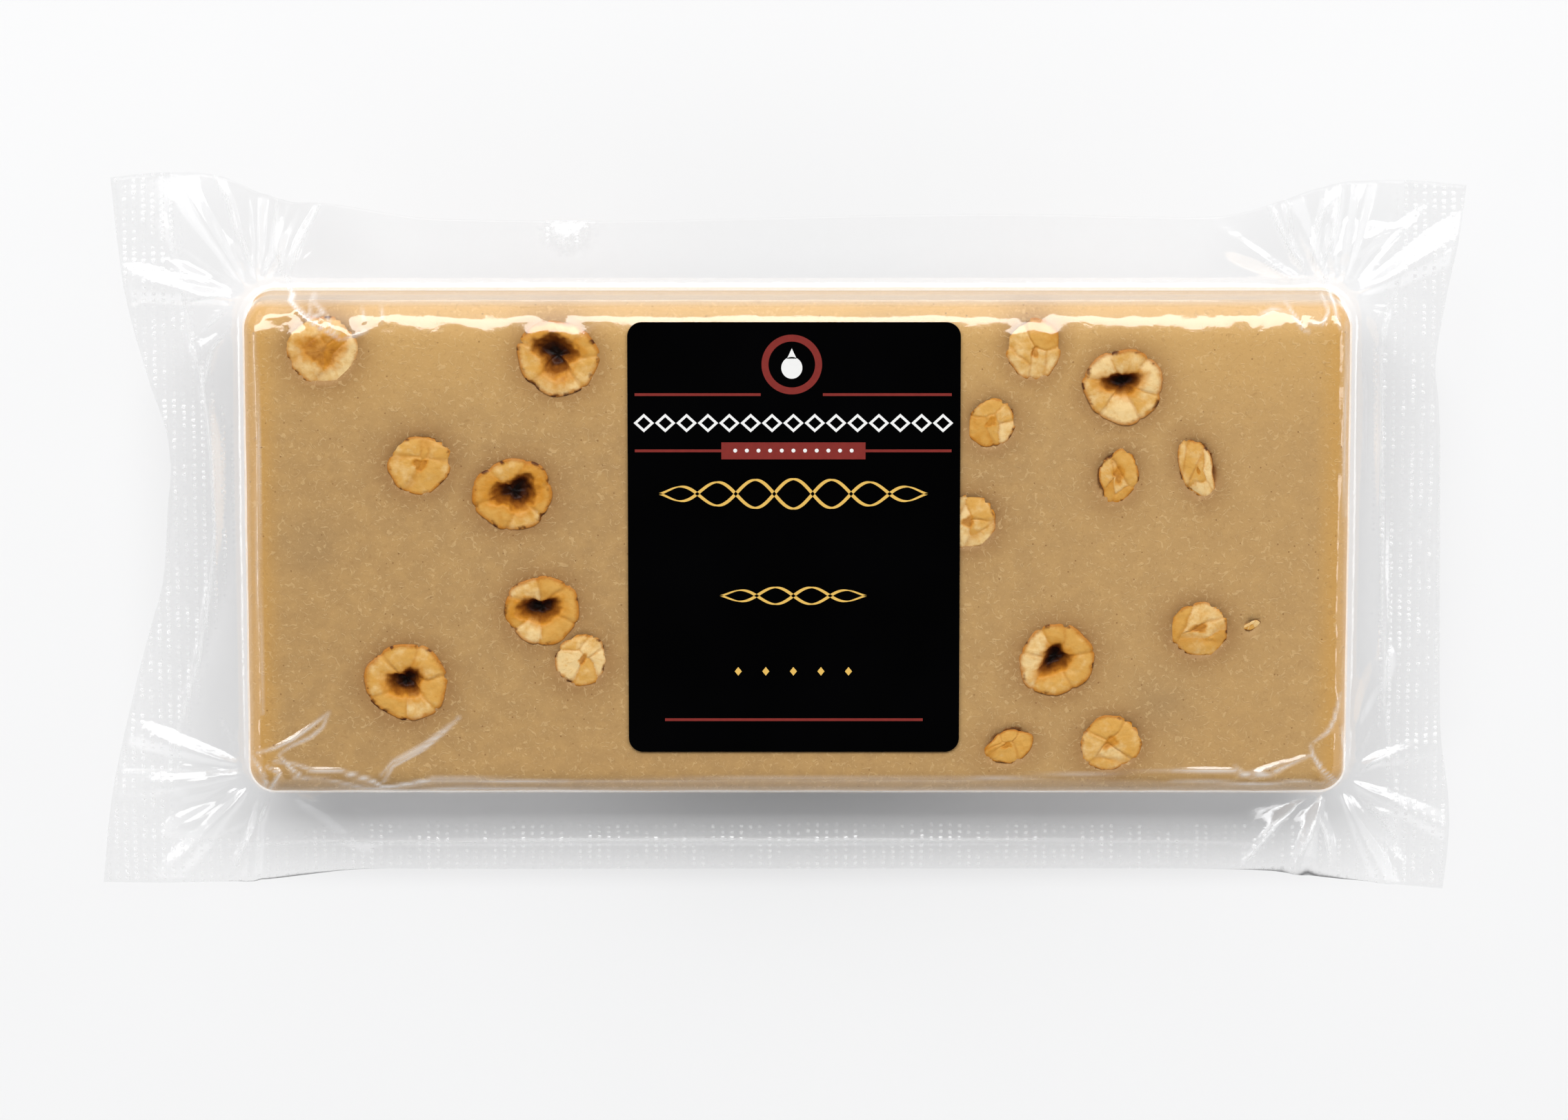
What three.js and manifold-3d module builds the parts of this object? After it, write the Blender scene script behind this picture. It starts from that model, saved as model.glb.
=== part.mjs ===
import * as THREE from "three";
import { mergeVertices } from "three/addons/utils/BufferGeometryUtils.js";
import Module from "manifold-3d";

// A slab of hazelnut nougat shut in a clear vacuum pouch, lying on its back with a square label on its face.
// Millimetres, +Z up. The origin is the middle of the slab's flat underside, +X runs along the slab
// and +Y towards the pouch's upper edge. The pouch is drawn tight over the slab, so slab and film are
// one solid here: a rounded slab with a thin wavy skirt of film all round it, at half its height.

// Driving dimensions
const slab = { length: 200, width: 91, height: 24, planCorner: 5, edgeRound: 3.5 };
const film = { seamHeight: 12, skirt: 0.8, footReach: 2.5, droopPerSquareMm: 0.0045 };
const label = { left: -30.6, right: 29.4, top: 42.2, bottom: -37, corner: 2.6, thickness: 0.3, clear: 0.3 };
const mesh = { cellsAlong: 24, cellsAcross: 10, edgeSteps: 3, skirtRings: 7, nutSides: 18 };

// The skirt's outline. Upper and lower edges give y at x, the end seals give x at y.
const outline = {
  upper: [[-124.5, 66], [-113, 67.4], [-104.5, 67], [-97, 63.8], [-92, 62.1], [-84, 61.6], [-69, 59.3],
    [-57, 58.8], [-32, 58.6], [18, 59.7], [46, 59.8], [60, 59.4], [78, 59.8], [90, 63.3], [99, 65.6],
    [110, 65.8], [121.3, 64.7]],
  lower: [[-128.3, -65.8], [-108.9, -64.9], [-99, -64.5], [-89.8, -63.6], [-80.9, -62.7], [-70, -62.3],
    [75.6, -62.1], [88, -61.9], [101, -64], [119.3, -66.6]],
  left: [[-65.8, -128.3], [-48.3, -126.1], [-28.6, -121.6], [-15.5, -118], [-9, -116.1], [-2.4, -115.3],
    [6, -114.7], [13.2, -114], [20.8, -114.9], [28.2, -117.5], [42, -121.4], [54.5, -123.3], [66, -124.5]],
  right: [[-66.6, 119.3], [-60, 119.9], [-54.4, 120.1], [-48, 119.8], [-38, 118.3], [-28.5, 117.9],
    [16.9, 117], [25.8, 116.5], [32.1, 115.9], [42, 117.3], [54.9, 119.8], [64.7, 121.3]],
};

// Folds that fan out from each corner of the slab: the angle from +X in degrees, the height of the crest
// and its half width in degrees. A negative height is a valley.
const fans = [
  { sideX: -1, sideY: 1, folds: [[170, 2.2, 13], [148, -1, 10], [121, 2.4, 8], [103, -1, 8], [89, 2, 7], [69, 1.5, 8]] },
  { sideX: 1, sideY: 1, folds: [[28, 2.6, 14], [54, -1, 9], [78, 2.2, 8], [97, 1.5, 6], [116, 1.9, 8], [150, 1.5, 9]] },
  { sideX: -1, sideY: -1, folds: [[163, 2.3, 10], [188, 1.4, 9], [207, -1, 9], [228, 2.1, 9], [262, 1.8, 8], [325, 1.3, 10]] },
  { sideX: 1, sideY: -1, folds: [[66, 1.7, 9], [14, 1.2, 12], [-27, 2, 9], [-46, -1.4, 9], [-64, 2.2, 8], [-108, 1.9, 9]] },
];
const fan = { inset: 2, starts: 3, full: 9, fades: 17, gone: 34 };

// Slow waves of the skirt: where, how wide and how high.
const waves = [
  { x: 90, y: -62, radius: 11, rise: 3.4 },
  { x: -104, y: 66, radius: 11, rise: 2.6 },
  { x: -93, y: 60, radius: 8, rise: -1.4 },
  { x: 84, y: 61, radius: 10, rise: 1.6 },
  { x: -116, y: 14, radius: 16, rise: 1.8 },
  { x: 117, y: 22, radius: 15, rise: 1.5 },
  { x: -84, y: -60, radius: 12, rise: -1.6 },
];

// Hazelnuts that show in the slab's face: cut across the hollow (ring), split in halves (half) or broken (chip).
const nuts = [
  { kind: "half", x: -85.5, y: 37, long: 13.4, wide: 12.8, turn: 0 },
  { kind: "ring", x: -43.1, y: 35.6, long: 15, wide: 13.6, turn: -20 },
  { kind: "half", x: -68.2, y: 16.1, long: 11.8, wide: 10.8, turn: 25 },
  { kind: "ring", x: -51.4, y: 10.6, long: 14.6, wide: 13.2, turn: 10 },
  { kind: "ring", x: -46.2, y: -10.8, long: 13.6, wide: 12.8, turn: 0 },
  { kind: "ring", x: -70.9, y: -24.1, long: 15.2, wide: 14.2, turn: -15 },
  { kind: "half", x: -39.2, y: -20, long: 9.8, wide: 9.4, turn: 60 },
  { kind: "half", x: 42.5, y: 37.2, long: 11.2, wide: 10, turn: 90 },
  { kind: "ring", x: 58.7, y: 30.4, long: 14.4, wide: 13.8, turn: 0 },
  { kind: "half", x: 35, y: 23.7, long: 9.2, wide: 8.4, turn: 60 },
  { kind: "chip", x: 57.8, y: 14, long: 9.8, wide: 7.6, turn: 80 },
  { kind: "chip", x: 72.2, y: 15.5, long: 11.6, wide: 6.6, turn: -72 },
  { kind: "half", x: 30.8, y: 5.6, long: 10.6, wide: 10.2, turn: 0 },
  { kind: "half", x: 72.9, y: -14.4, long: 11, wide: 10.2, turn: 0 },
  { kind: "ring", x: 47, y: -20, long: 14, wide: 13, turn: 35 },
  { kind: "half", x: 57, y: -35.5, long: 11.4, wide: 10.2, turn: 15 },
  { kind: "chip", x: 38.5, y: -36, long: 9, wide: 6.4, turn: 20 },
  { kind: "chip", x: 82.4, y: -13.5, long: 3.4, wide: 1.6, turn: 25 },
];
const nut = { sunk: 1, crest: 0.8, lobes: 5, lobeDepth: 0.035 };

// How a nut rises over the slab's face, as shares of its radius from the middle out and of its crest.
const nutProfiles = {
  ring: [[0, 0.2], [0.24, 0.35], [0.44, 0.97], [0.68, 1], [0.88, 0.62], [1, 0.06]],
  half: [[0, 1], [0.4, 0.95], [0.72, 0.7], [0.9, 0.4], [1, 0.06]],
  chip: [[0, 0.75], [0.55, 0.62], [0.85, 0.38], [1, 0.06]],
};

const clamp01 = (v) => Math.min(Math.max(v, 0), 1);
const smooth = (from, to, v) => {
  const t = clamp01((v - from) / (to - from));
  return t * t * (3 - 2 * t);
};
const mix = (a, b, t) => a + (b - a) * t;

// A smooth function through [position, value] points, by cubic pieces with their neighbours' slopes.
function curveThrough(points) {
  const last = points.length - 1;
  const slope = (i) => {
    const [a, b] = [points[Math.max(i - 1, 0)], points[Math.min(i + 1, last)]];
    return (b[1] - a[1]) / (b[0] - a[0]);
  };
  return (at) => {
    let i = 0;
    while (i < last - 1 && at > points[i + 1][0]) i += 1;
    const [[p0, v0], [p1, v1]] = [points[i], points[i + 1]];
    const span = p1 - p0;
    const t = clamp01((at - p0) / span);
    const u = 1 - t;
    return v0 * u * u * (1 + 2 * t) + v1 * t * t * (3 - 2 * t) + span * t * u * (slope(i) * u - slope(i + 1) * t);
  };
}
const edge = Object.fromEntries(Object.entries(outline).map(([name, points]) => [name, curveThrough(points)]));

// How high the middle of the skirt is at a point outside the slab.
function skirtHeight(x, y) {
  const out = Math.hypot(Math.max(Math.abs(x) - slab.length / 2, 0), Math.max(Math.abs(y) - slab.width / 2, 0));
  let z = film.seamHeight - film.droopPerSquareMm * out * out;
  for (const wave of waves) {
    const away = Math.hypot(x - wave.x, y - wave.y) / wave.radius;
    z += wave.rise * Math.exp(-away * away) * smooth(film.footReach, 3 * film.footReach, out);
  }
  for (const { sideX, sideY, folds } of fans) {
    const dx = x - sideX * (slab.length / 2 - fan.inset);
    const dy = y - sideY * (slab.width / 2 - fan.inset);
    const away = Math.hypot(dx, dy);
    const strength = smooth(fan.starts, fan.full, away) * (1 - smooth(fan.fades, fan.gone, away));
    const angle = THREE.MathUtils.radToDeg(Math.atan2(dy, dx));
    for (const [at, height, halfWidth] of folds) {
      const off = Math.abs(THREE.MathUtils.euclideanModulo(angle - at + 180, 360) - 180);
      z += height * strength * Math.max(0, 1 - off / halfWidth);
    }
  }
  return z;
}

// Rings over the slab's edge, from the flat face out to where the skirt starts: the reach beyond the
// inner rectangle, and the heights of the front and the back there.
function edgeStations() {
  const flat = slab.planCorner - slab.edgeRound;
  const stations = [{ reach: 0, front: slab.height, back: 0 }, { reach: flat, front: slab.height, back: 0 }];
  for (let step = 1; step <= mesh.edgeSteps; step += 1) {
    const turn = (step / mesh.edgeSteps) * (Math.PI / 2);
    const drop = slab.edgeRound * (1 - Math.cos(turn));
    stations.push({ reach: flat + slab.edgeRound * Math.sin(turn), front: slab.height - drop, back: drop });
  }
  const foot = film.footReach;
  for (const [reach, rise] of [[0.1, foot], [foot * 0.32, foot * 0.36], [foot, film.skirt / 2]])
    stations.push({ reach: slab.planCorner + reach, front: film.seamHeight + rise, back: film.seamHeight - rise });
  return stations;
}

// Where a ring's point ends on the outline. Beside the slab it goes straight out, and round a corner
// the rings' points are shared between the two edges that meet there.
function outlinePoint(inner, beyondX, beyondY) {
  const endEdge = inner.x > 0 ? edge.right : edge.left;
  const sideEdge = inner.y > 0 ? edge.upper : edge.lower;
  const signX = Math.sign(beyondX);
  const signY = Math.sign(beyondY);
  if (!signX) return { x: inner.x, y: sideEdge(inner.x) };
  if (!signY) return { x: endEdge(inner.y), y: inner.y };
  const [cornerY, cornerX] = outline[signX > 0 ? "right" : "left"].at(signY > 0 ? -1 : 0);
  if (Math.abs(beyondX) >= Math.abs(beyondY)) {
    const y = mix(inner.y, cornerY, Math.abs(beyondY / beyondX));
    return { x: endEdge(y), y };
  }
  const x = mix(inner.x, cornerX, Math.abs(beyondX / beyondY));
  return { x, y: sideEdge(x) };
}

// The direction of a ring's point from the inner rectangle: square rings become rounded ones.
function outward(beyondX, beyondY) {
  const [ax, ay] = [Math.abs(beyondX), Math.abs(beyondY)];
  const turn = ax >= ay ? (Math.PI / 4) * (ay / ax) : Math.PI / 2 - (Math.PI / 4) * (ax / ay);
  return { x: Math.sign(beyondX) * Math.cos(turn), y: Math.sign(beyondY) * Math.sin(turn) };
}

// Slab and skirt as one closed mesh: two like grids, front and back, joined round the outline.
function pouchGeometry() {
  const stations = edgeStations();
  const lastStation = stations.length - 1;
  const rings = lastStation + mesh.skirtRings;
  const columns = mesh.cellsAlong + 2 * rings;
  const rows = mesh.cellsAcross + 2 * rings;
  const innerHalf = { x: slab.length / 2 - slab.planCorner, y: slab.width / 2 - slab.planCorner };
  const beyond = (index, cells) => Math.min(index - rings, 0) + Math.max(index - rings - cells, 0);
  const front = [];
  const back = [];
  for (let row = 0; row <= rows; row += 1)
    for (let column = 0; column <= columns; column += 1) {
      const beyondX = beyond(column, mesh.cellsAlong);
      const beyondY = beyond(row, mesh.cellsAcross);
      const inner = {
        x: mix(-innerHalf.x, innerHalf.x, clamp01((column - rings) / mesh.cellsAlong)),
        y: mix(-innerHalf.y, innerHalf.y, clamp01((row - rings) / mesh.cellsAcross)),
      };
      const ring = Math.max(Math.abs(beyondX), Math.abs(beyondY));
      if (ring === 0) {
        front.push(inner.x, inner.y, slab.height);
        back.push(inner.x, inner.y, 0);
        continue;
      }
      const way = outward(beyondX, beyondY);
      const station = stations[Math.min(ring, lastStation)];
      const start = { x: inner.x + way.x * station.reach, y: inner.y + way.y * station.reach };
      if (ring <= lastStation) {
        front.push(start.x, start.y, station.front);
        back.push(start.x, start.y, station.back);
        continue;
      }
      const end = outlinePoint(inner, beyondX, beyondY);
      const share = (ring - lastStation) / mesh.skirtRings;
      const [x, y] = [mix(start.x, end.x, share), mix(start.y, end.y, share)];
      const z = skirtHeight(x, y);
      front.push(x, y, z + film.skirt / 2);
      back.push(x, y, z - film.skirt / 2);
    }
  const wide = columns + 1;
  const count = wide * (rows + 1);
  const faces = [];
  for (let row = 0; row < rows; row += 1)
    for (let column = 0; column < columns; column += 1) {
      const [a, b] = [row * wide + column, row * wide + column + 1];
      const [c, d] = [a + wide, b + wide];
      const rising = (column < columns / 2) === (row < rows / 2);
      const pair = rising ? [[a, b, d], [a, d, c]] : [[a, b, c], [b, d, c]];
      for (const [p, q, r] of pair) faces.push(p, q, r, p + count, r + count, q + count);
    }
  const rim = [];
  for (let column = 0; column < columns; column += 1) rim.push(column);
  for (let row = 0; row < rows; row += 1) rim.push(row * wide + columns);
  for (let column = columns; column > 0; column -= 1) rim.push(rows * wide + column);
  for (let row = rows; row > 0; row -= 1) rim.push(row * wide);
  rim.forEach((p, i) => {
    const q = rim[(i + 1) % rim.length];
    faces.push(p, p + count, q, q, p + count, q + count);
  });
  return new THREE.BufferGeometry()
    .setAttribute("position", new THREE.Float32BufferAttribute([...front, ...back], 3))
    .setIndex(faces);
}

// One nut as it stands out under the film, with a lobed rim, its foot sunk in the slab.
function nutGeometry({ kind, x, y, long, wide, turn }) {
  const rise = nutProfiles[kind].map(([share, height]) => new THREE.Vector2(share, height * nut.crest));
  const profile = [new THREE.Vector2(0, -nut.sunk), new THREE.Vector2(1, -nut.sunk), ...rise.reverse()];
  const geometry = new THREE.LatheGeometry(profile, mesh.nutSides).rotateX(Math.PI / 2);
  const position = geometry.getAttribute("position");
  for (let i = 0; i < position.count; i += 1) {
    const [px, py] = [position.getX(i), position.getY(i)];
    const lobe = 1 + nut.lobeDepth * Math.sin(nut.lobes * Math.atan2(py, px) + x + y);
    position.setXY(i, px * lobe, py * lobe);
  }
  return geometry
    .scale(long / 2, wide / 2, 1)
    .rotateZ(THREE.MathUtils.degToRad(turn))
    .translate(x, y, slab.height);
}

// A block on the label's outline, grown by a margin all round.
function labelBlock(margin, thickness, height) {
  const [left, right] = [label.left - margin, label.right + margin];
  const [bottom, top] = [label.bottom - margin, label.top + margin];
  const corner = label.corner + margin;
  const shape = new THREE.Shape()
    .moveTo(left + corner, bottom)
    .lineTo(right - corner, bottom)
    .absarc(right - corner, bottom + corner, corner, -Math.PI / 2, 0)
    .lineTo(right, top - corner)
    .absarc(right - corner, top - corner, corner, 0, Math.PI / 2)
    .lineTo(left + corner, top)
    .absarc(left + corner, top - corner, corner, Math.PI / 2, Math.PI)
    .lineTo(left, bottom + corner)
    .absarc(left + corner, bottom + corner, corner, Math.PI, 1.5 * Math.PI);
  return new THREE.ExtrudeGeometry(shape, { depth: thickness, bevelEnabled: false, curveSegments: 8 })
    .translate(0, 0, height);
}

const wasm = await Module();
wasm.setup();

function toSolid(geometry) {
  const bare = geometry.clone();
  bare.deleteAttribute("normal");
  bare.deleteAttribute("uv");
  const merged = mergeVertices(bare, 1e-4);
  const corners = merged.index.array;
  const triangles = [];
  for (let i = 0; i < corners.length; i += 3) {
    const [a, b, c] = [corners[i], corners[i + 1], corners[i + 2]];
    if (a !== b && b !== c && c !== a) triangles.push(a, b, c);
  }
  return new wasm.Manifold(new wasm.Mesh({
    numProp: 3,
    vertProperties: merged.attributes.position.array,
    triVerts: new Uint32Array(triangles),
  }));
}

function toGeometry(solid) {
  const { vertProperties, triVerts } = solid.getMesh();
  const geometry = new THREE.BufferGeometry()
    .setAttribute("position", new THREE.BufferAttribute(vertProperties, 3))
    .setIndex(new THREE.BufferAttribute(triVerts, 1));
  geometry.computeVertexNormals();
  return geometry;
}

function piece(name, geometry, look) {
  const made = new THREE.Mesh(geometry, new THREE.MeshStandardMaterial(look));
  made.name = name;
  return made;
}

// The nut that reaches under the label is flush there, so it is cut back to the label's edge.
const labelRoom = toSolid(labelBlock(label.clear, 2 * nut.crest, slab.height - nut.sunk / 2));
const nutSolids = nuts.map((each) => toSolid(nutGeometry(each)).subtract(labelRoom));
const packed = nutSolids.reduce((solid, each) => solid.add(each), toSolid(pouchGeometry()));

const pack = new THREE.Group();
pack.add(
  piece("vacuum_pack", toGeometry(packed), { color: 0xbe9a66, roughness: 0.35, metalness: 0 }),
  piece("label", labelBlock(0, label.thickness, slab.height), { color: 0x080808, roughness: 0.45, metalness: 0 }),
);

export default pack;
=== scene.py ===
# %% [markdown]
# A slab of hazelnut nougat, shut in a clear vacuum pouch with a label on its face, lies on its back.
# The construction model gives the sizes and places, and this script gives the looks. It makes the slab,
# its nuts, the film and the label's print in the same frame, and lights them on a plain pale table.
# Shapes are worked out in millimetres, as a maker would measure them, and become metres in the mesh.

# %% Load the frame
import math

import bmesh
import bpy
import numpy as np
from mathutils import Matrix, Vector, noise


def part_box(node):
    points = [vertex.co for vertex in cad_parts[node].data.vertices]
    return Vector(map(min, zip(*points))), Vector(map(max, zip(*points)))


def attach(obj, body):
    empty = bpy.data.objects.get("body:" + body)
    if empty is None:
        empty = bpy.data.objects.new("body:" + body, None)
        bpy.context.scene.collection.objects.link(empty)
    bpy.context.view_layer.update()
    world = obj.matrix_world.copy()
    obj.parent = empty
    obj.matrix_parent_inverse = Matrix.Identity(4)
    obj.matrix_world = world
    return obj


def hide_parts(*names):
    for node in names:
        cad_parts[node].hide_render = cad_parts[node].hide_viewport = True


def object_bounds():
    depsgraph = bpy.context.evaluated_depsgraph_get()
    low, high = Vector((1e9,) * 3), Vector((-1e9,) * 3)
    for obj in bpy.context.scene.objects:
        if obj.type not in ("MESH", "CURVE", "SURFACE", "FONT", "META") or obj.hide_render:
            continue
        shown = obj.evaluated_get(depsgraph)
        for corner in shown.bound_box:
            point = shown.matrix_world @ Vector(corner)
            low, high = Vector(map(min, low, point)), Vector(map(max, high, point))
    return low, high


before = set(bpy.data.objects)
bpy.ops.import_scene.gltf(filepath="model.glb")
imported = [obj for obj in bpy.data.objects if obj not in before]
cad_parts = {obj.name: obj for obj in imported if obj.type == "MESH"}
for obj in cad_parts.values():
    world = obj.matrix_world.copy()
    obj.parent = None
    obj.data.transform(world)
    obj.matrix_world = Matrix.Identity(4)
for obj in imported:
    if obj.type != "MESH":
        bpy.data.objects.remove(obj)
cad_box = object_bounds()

MM = 0.001
label_low, label_high = (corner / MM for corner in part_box("label"))
print("CAD box in mm:", [[round(c / MM, 1) for c in corner] for corner in cad_box])

# %% [markdown]
# The camera stands where the photographer stood, in front of the label and a little to the side of the
# pouch's upper edge. A long lens from far away keeps the slab's edges almost parallel, as in a product
# picture. The pack was stood up for the photograph and lies down here, so the camera looks down on it.

# %% Camera
SENSOR = 36
LENS = 165
camera_place = Vector((-2.4, 257.7, 1298)) * MM
camera_target = Vector((-2.4, -1.45, 24)) * MM

camera_data = bpy.data.cameras.new("camera")
camera_data.lens = LENS
camera_data.sensor_width = SENSOR
camera = bpy.data.objects.new("camera", camera_data)
camera.location = camera_place
looking = camera_target - camera_place
side = looking.cross(Vector((0, 1, 0))).normalized()
upward = side.cross(looking).normalized()
camera.rotation_euler = Matrix((side, upward, -looking.normalized())).transposed().to_euler()
bpy.context.scene.collection.objects.link(camera)
bpy.context.scene.camera = camera
bpy.context.scene.view_settings.view_transform = "Standard"
print("camera to slab:", round(looking.length / MM), "mm")

# %% [markdown]
# Clear film shows only by what it reflects, so the light matters as much as the film. One long softbox
# hangs over the pouch's upper edge: it draws the white streak along the slab's edge and lights every fold
# that leans that way. A wide sun on the same side stands for a bright ceiling, and two narrow ones draw
# thin lines at the ends. The surroundings are pale, but dark round the direction that the flat face
# mirrors to the camera, as when a photographer hangs a dark cloth there, so that the face shows its own
# colours.

# %% Light and table
def aim(light, tilt_to_y, tilt_to_x, distance=0):
    """Points a light down at the slab from a direction, given in degrees from straight up."""
    sideways = Matrix.Rotation(math.radians(tilt_to_x), 4, "Y")
    forwards = Matrix.Rotation(math.radians(-tilt_to_y), 4, "X")
    light.matrix_world = sideways @ forwards @ Matrix.Translation((0, 0, distance))
    bpy.context.scene.collection.objects.link(light)


softbox_data = bpy.data.lights.new("softbox", "AREA")
softbox_data.shape = "RECTANGLE"
softbox_data.size = 5
softbox_data.size_y = 1.3
softbox_data.energy = 90
aim(bpy.data.objects.new("softbox", softbox_data), 35, 0, 3)
for name, strength, spread, tilt_to_y, tilt_to_x in (
        ("ceiling", 0.44, 68, 52, 0), ("left_light", 0.06, 10, -8, -50), ("right_light", 0.06, 10, -8, 46)):
    sun = bpy.data.lights.new(name, "SUN")
    sun.energy = strength
    sun.angle = math.radians(spread)
    aim(bpy.data.objects.new(name, sun), tilt_to_y, tilt_to_x)

AMBIENT = 0.645
CLOTH = 0.01
CLOTH_EDGE = (math.cos(math.radians(52)), math.cos(math.radians(34)))
CLOTH_PLACE = (0, -0.2, 0.98)

TABLE_RADIUS = 12
table_mesh = bmesh.new()
bmesh.ops.create_circle(table_mesh, cap_ends=True, segments=96, radius=TABLE_RADIUS)
table_data = bpy.data.meshes.new("table")
table_mesh.to_mesh(table_data)
table_mesh.free()
table = bpy.data.objects.new("table", table_data)
bpy.context.scene.collection.objects.link(table)
print("lights:", len(bpy.data.lights), "table:", 2 * TABLE_RADIUS, "m across")

# %% [markdown]
# Every finish below is a small graph of shader nodes, so a few helpers keep the recipes short. Colours are
# given as they would be read off a screen, from 0 to 255, and turned into the linear values that a shader
# needs. Patterns follow the object's own coordinates, scaled so that one unit is one millimetre.

# %% Helpers for finishes
def tone(red, green, blue):
    """A linear colour from screen values."""
    shares = [value / 255 for value in (red, green, blue)]
    return (*[s / 12.92 if s <= 0.04045 else ((s + 0.055) / 1.055) ** 2.4 for s in shares], 1)


def new_finish(name):
    finish = bpy.data.materials.new(name)
    finish.use_nodes = True
    finish.node_tree.nodes.clear()
    return finish


def put(finish, kind, sockets, output=0, **settings):
    """Adds a node, fills its sockets with values or with other nodes' outputs, and gives one output."""
    made = finish.node_tree.nodes.new("ShaderNode" + kind)
    for name, value in settings.items():
        setattr(made, name, value)
    for socket, value in sockets.items():
        if isinstance(value, bpy.types.NodeSocket):
            finish.node_tree.links.new(value, made.inputs[socket])
        else:
            made.inputs[socket].default_value = value
    return made.outputs[output] if made.outputs else made


def place_on(finish):
    """The object's coordinates in millimetres."""
    where = put(finish, "TexCoord", {}, "Object")
    return put(finish, "Mapping", {"Vector": where, "Scale": [1 / MM] * 3})


def grain(finish, vector, scale, detail=2, rough=0.5, distortion=0):
    """Noise with lumps of about 1 / scale millimetres."""
    sockets = {"Vector": vector, "Scale": scale, "Detail": detail, "Roughness": rough,
               "Distortion": distortion}
    return put(finish, "TexNoise", sockets)


def band(finish, value, start, end, low=0, high=1):
    """Goes smoothly from low to high while the value goes from start to end."""
    sockets = {"Value": value, "From Min": start, "From Max": end, "To Min": low, "To Max": high}
    return put(finish, "MapRange", sockets, interpolation_type="SMOOTHSTEP")


def maths(finish, operation, first, second=0.0):
    return put(finish, "Math", {0: first, 1: second}, operation=operation)


def blend(finish, share, first, second):
    """A colour between two, by a share."""
    return put(finish, "Mix", {0: share, 6: first, 7: second}, 2, data_type="RGBA")


def times(finish, first, second):
    return maths(finish, "MULTIPLY", first, second)


def plus(finish, first, second):
    return maths(finish, "ADD", first, second)


def kept(finish, name):
    """A number that was stored on the mesh's points."""
    return put(finish, "Attribute", {}, "Fac", attribute_name=name)


def relief(finish, height, depth, strength):
    """Bump from a height, with depth in millimetres."""
    return put(finish, "Bump", {"Height": height, "Distance": depth * MM, "Strength": strength})


def close_finish(finish, shader):
    put(finish, "OutputMaterial", {"Surface": shader})


print("one unit of a pattern is", MM, "m")

# %% [markdown]
# The table is plain matt board. A faint mottle keeps it from being one flat colour. The surroundings are
# drawn by direction: pale everywhere, and dark near the direction that the flat film mirrors.

# %% Table finish and surroundings
board = new_finish("pale_board")
mottle = grain(board, place_on(board), 0.02, detail=3)
board_colour = blend(board, mottle, tone(245, 245, 245), tone(247, 247, 247))
close_finish(board, put(board, "BsdfPrincipled", {"Base Color": board_colour, "Roughness": 0.9}))
table_data.materials.append(board)

world = bpy.data.worlds.new("surroundings")
world.use_nodes = True
world.node_tree.nodes.clear()
direction = put(world, "TexCoord", {}, "Generated")
facing_cloth = put(world, "VectorMath", {0: direction, 1: CLOTH_PLACE}, "Value", operation="DOT_PRODUCT")
glow = band(world, facing_cloth, *CLOTH_EDGE, AMBIENT, CLOTH)
sky = put(world, "Background", {"Color": (0.98, 0.985, 1, 1), "Strength": glow})
put(world, "OutputWorld", {"Surface": sky})
bpy.context.scene.world = world
print("surroundings:", AMBIENT, "and", CLOTH, "in the dark cone")

# %% [markdown]
# The vacuum pulls the pouch tight over the slab, so film and slab share one plan: a rectangle with round
# corners, wrapped in rings. The rings first go over the slab's rounded edge and down its wall, and then,
# for the film, out over the skirt to the cut edge of the pouch. One grid laid along these rings makes
# both pieces, so the film always lies just outside the nougat and never cuts through it.

# %% The slab's and the pouch's sizes
SLAB = {"half_length": 100, "half_width": 45.5, "height": 24, "plan_corner": 5, "edge_round": 3.5}
SEAM_HEIGHT = 12
FOOT_REACH = 2.5
DROOP = 0.0045

OUTLINE = {
    "upper": [(-124.5, 66), (-113, 67.4), (-104.5, 67), (-97, 63.8), (-92, 62.1), (-84, 61.6), (-69, 59.3),
              (-57, 58.8), (-32, 58.6), (18, 59.7), (46, 59.8), (60, 59.4), (78, 59.8), (90, 63.3),
              (99, 65.6), (110, 65.8), (121.3, 64.7)],
    "lower": [(-128.3, -65.8), (-108.9, -64.9), (-99, -64.5), (-89.8, -63.6), (-80.9, -62.7), (-70, -62.3),
              (75.6, -62.1), (88, -61.9), (101, -64), (119.3, -66.6)],
    "left": [(-65.8, -128.3), (-48.3, -126.1), (-28.6, -121.6), (-15.5, -118), (-9, -116.1), (-2.4, -115.3),
             (6, -114.7), (13.2, -114), (20.8, -114.9), (28.2, -117.5), (42, -121.4), (54.5, -123.3),
             (66, -124.5)],
    "right": [(-66.6, 119.3), (-60, 119.9), (-54.4, 120.1), (-48, 119.8), (-38, 118.3), (-28.5, 117.9),
              (16.9, 117), (25.8, 116.5), (32.1, 115.9), (42, 117.3), (54.9, 119.8), (64.7, 121.3)],
}


def smooth(start, end, value):
    share = np.clip((value - start) / (end - start), 0, 1)
    return share * share * (3 - 2 * share)


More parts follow.
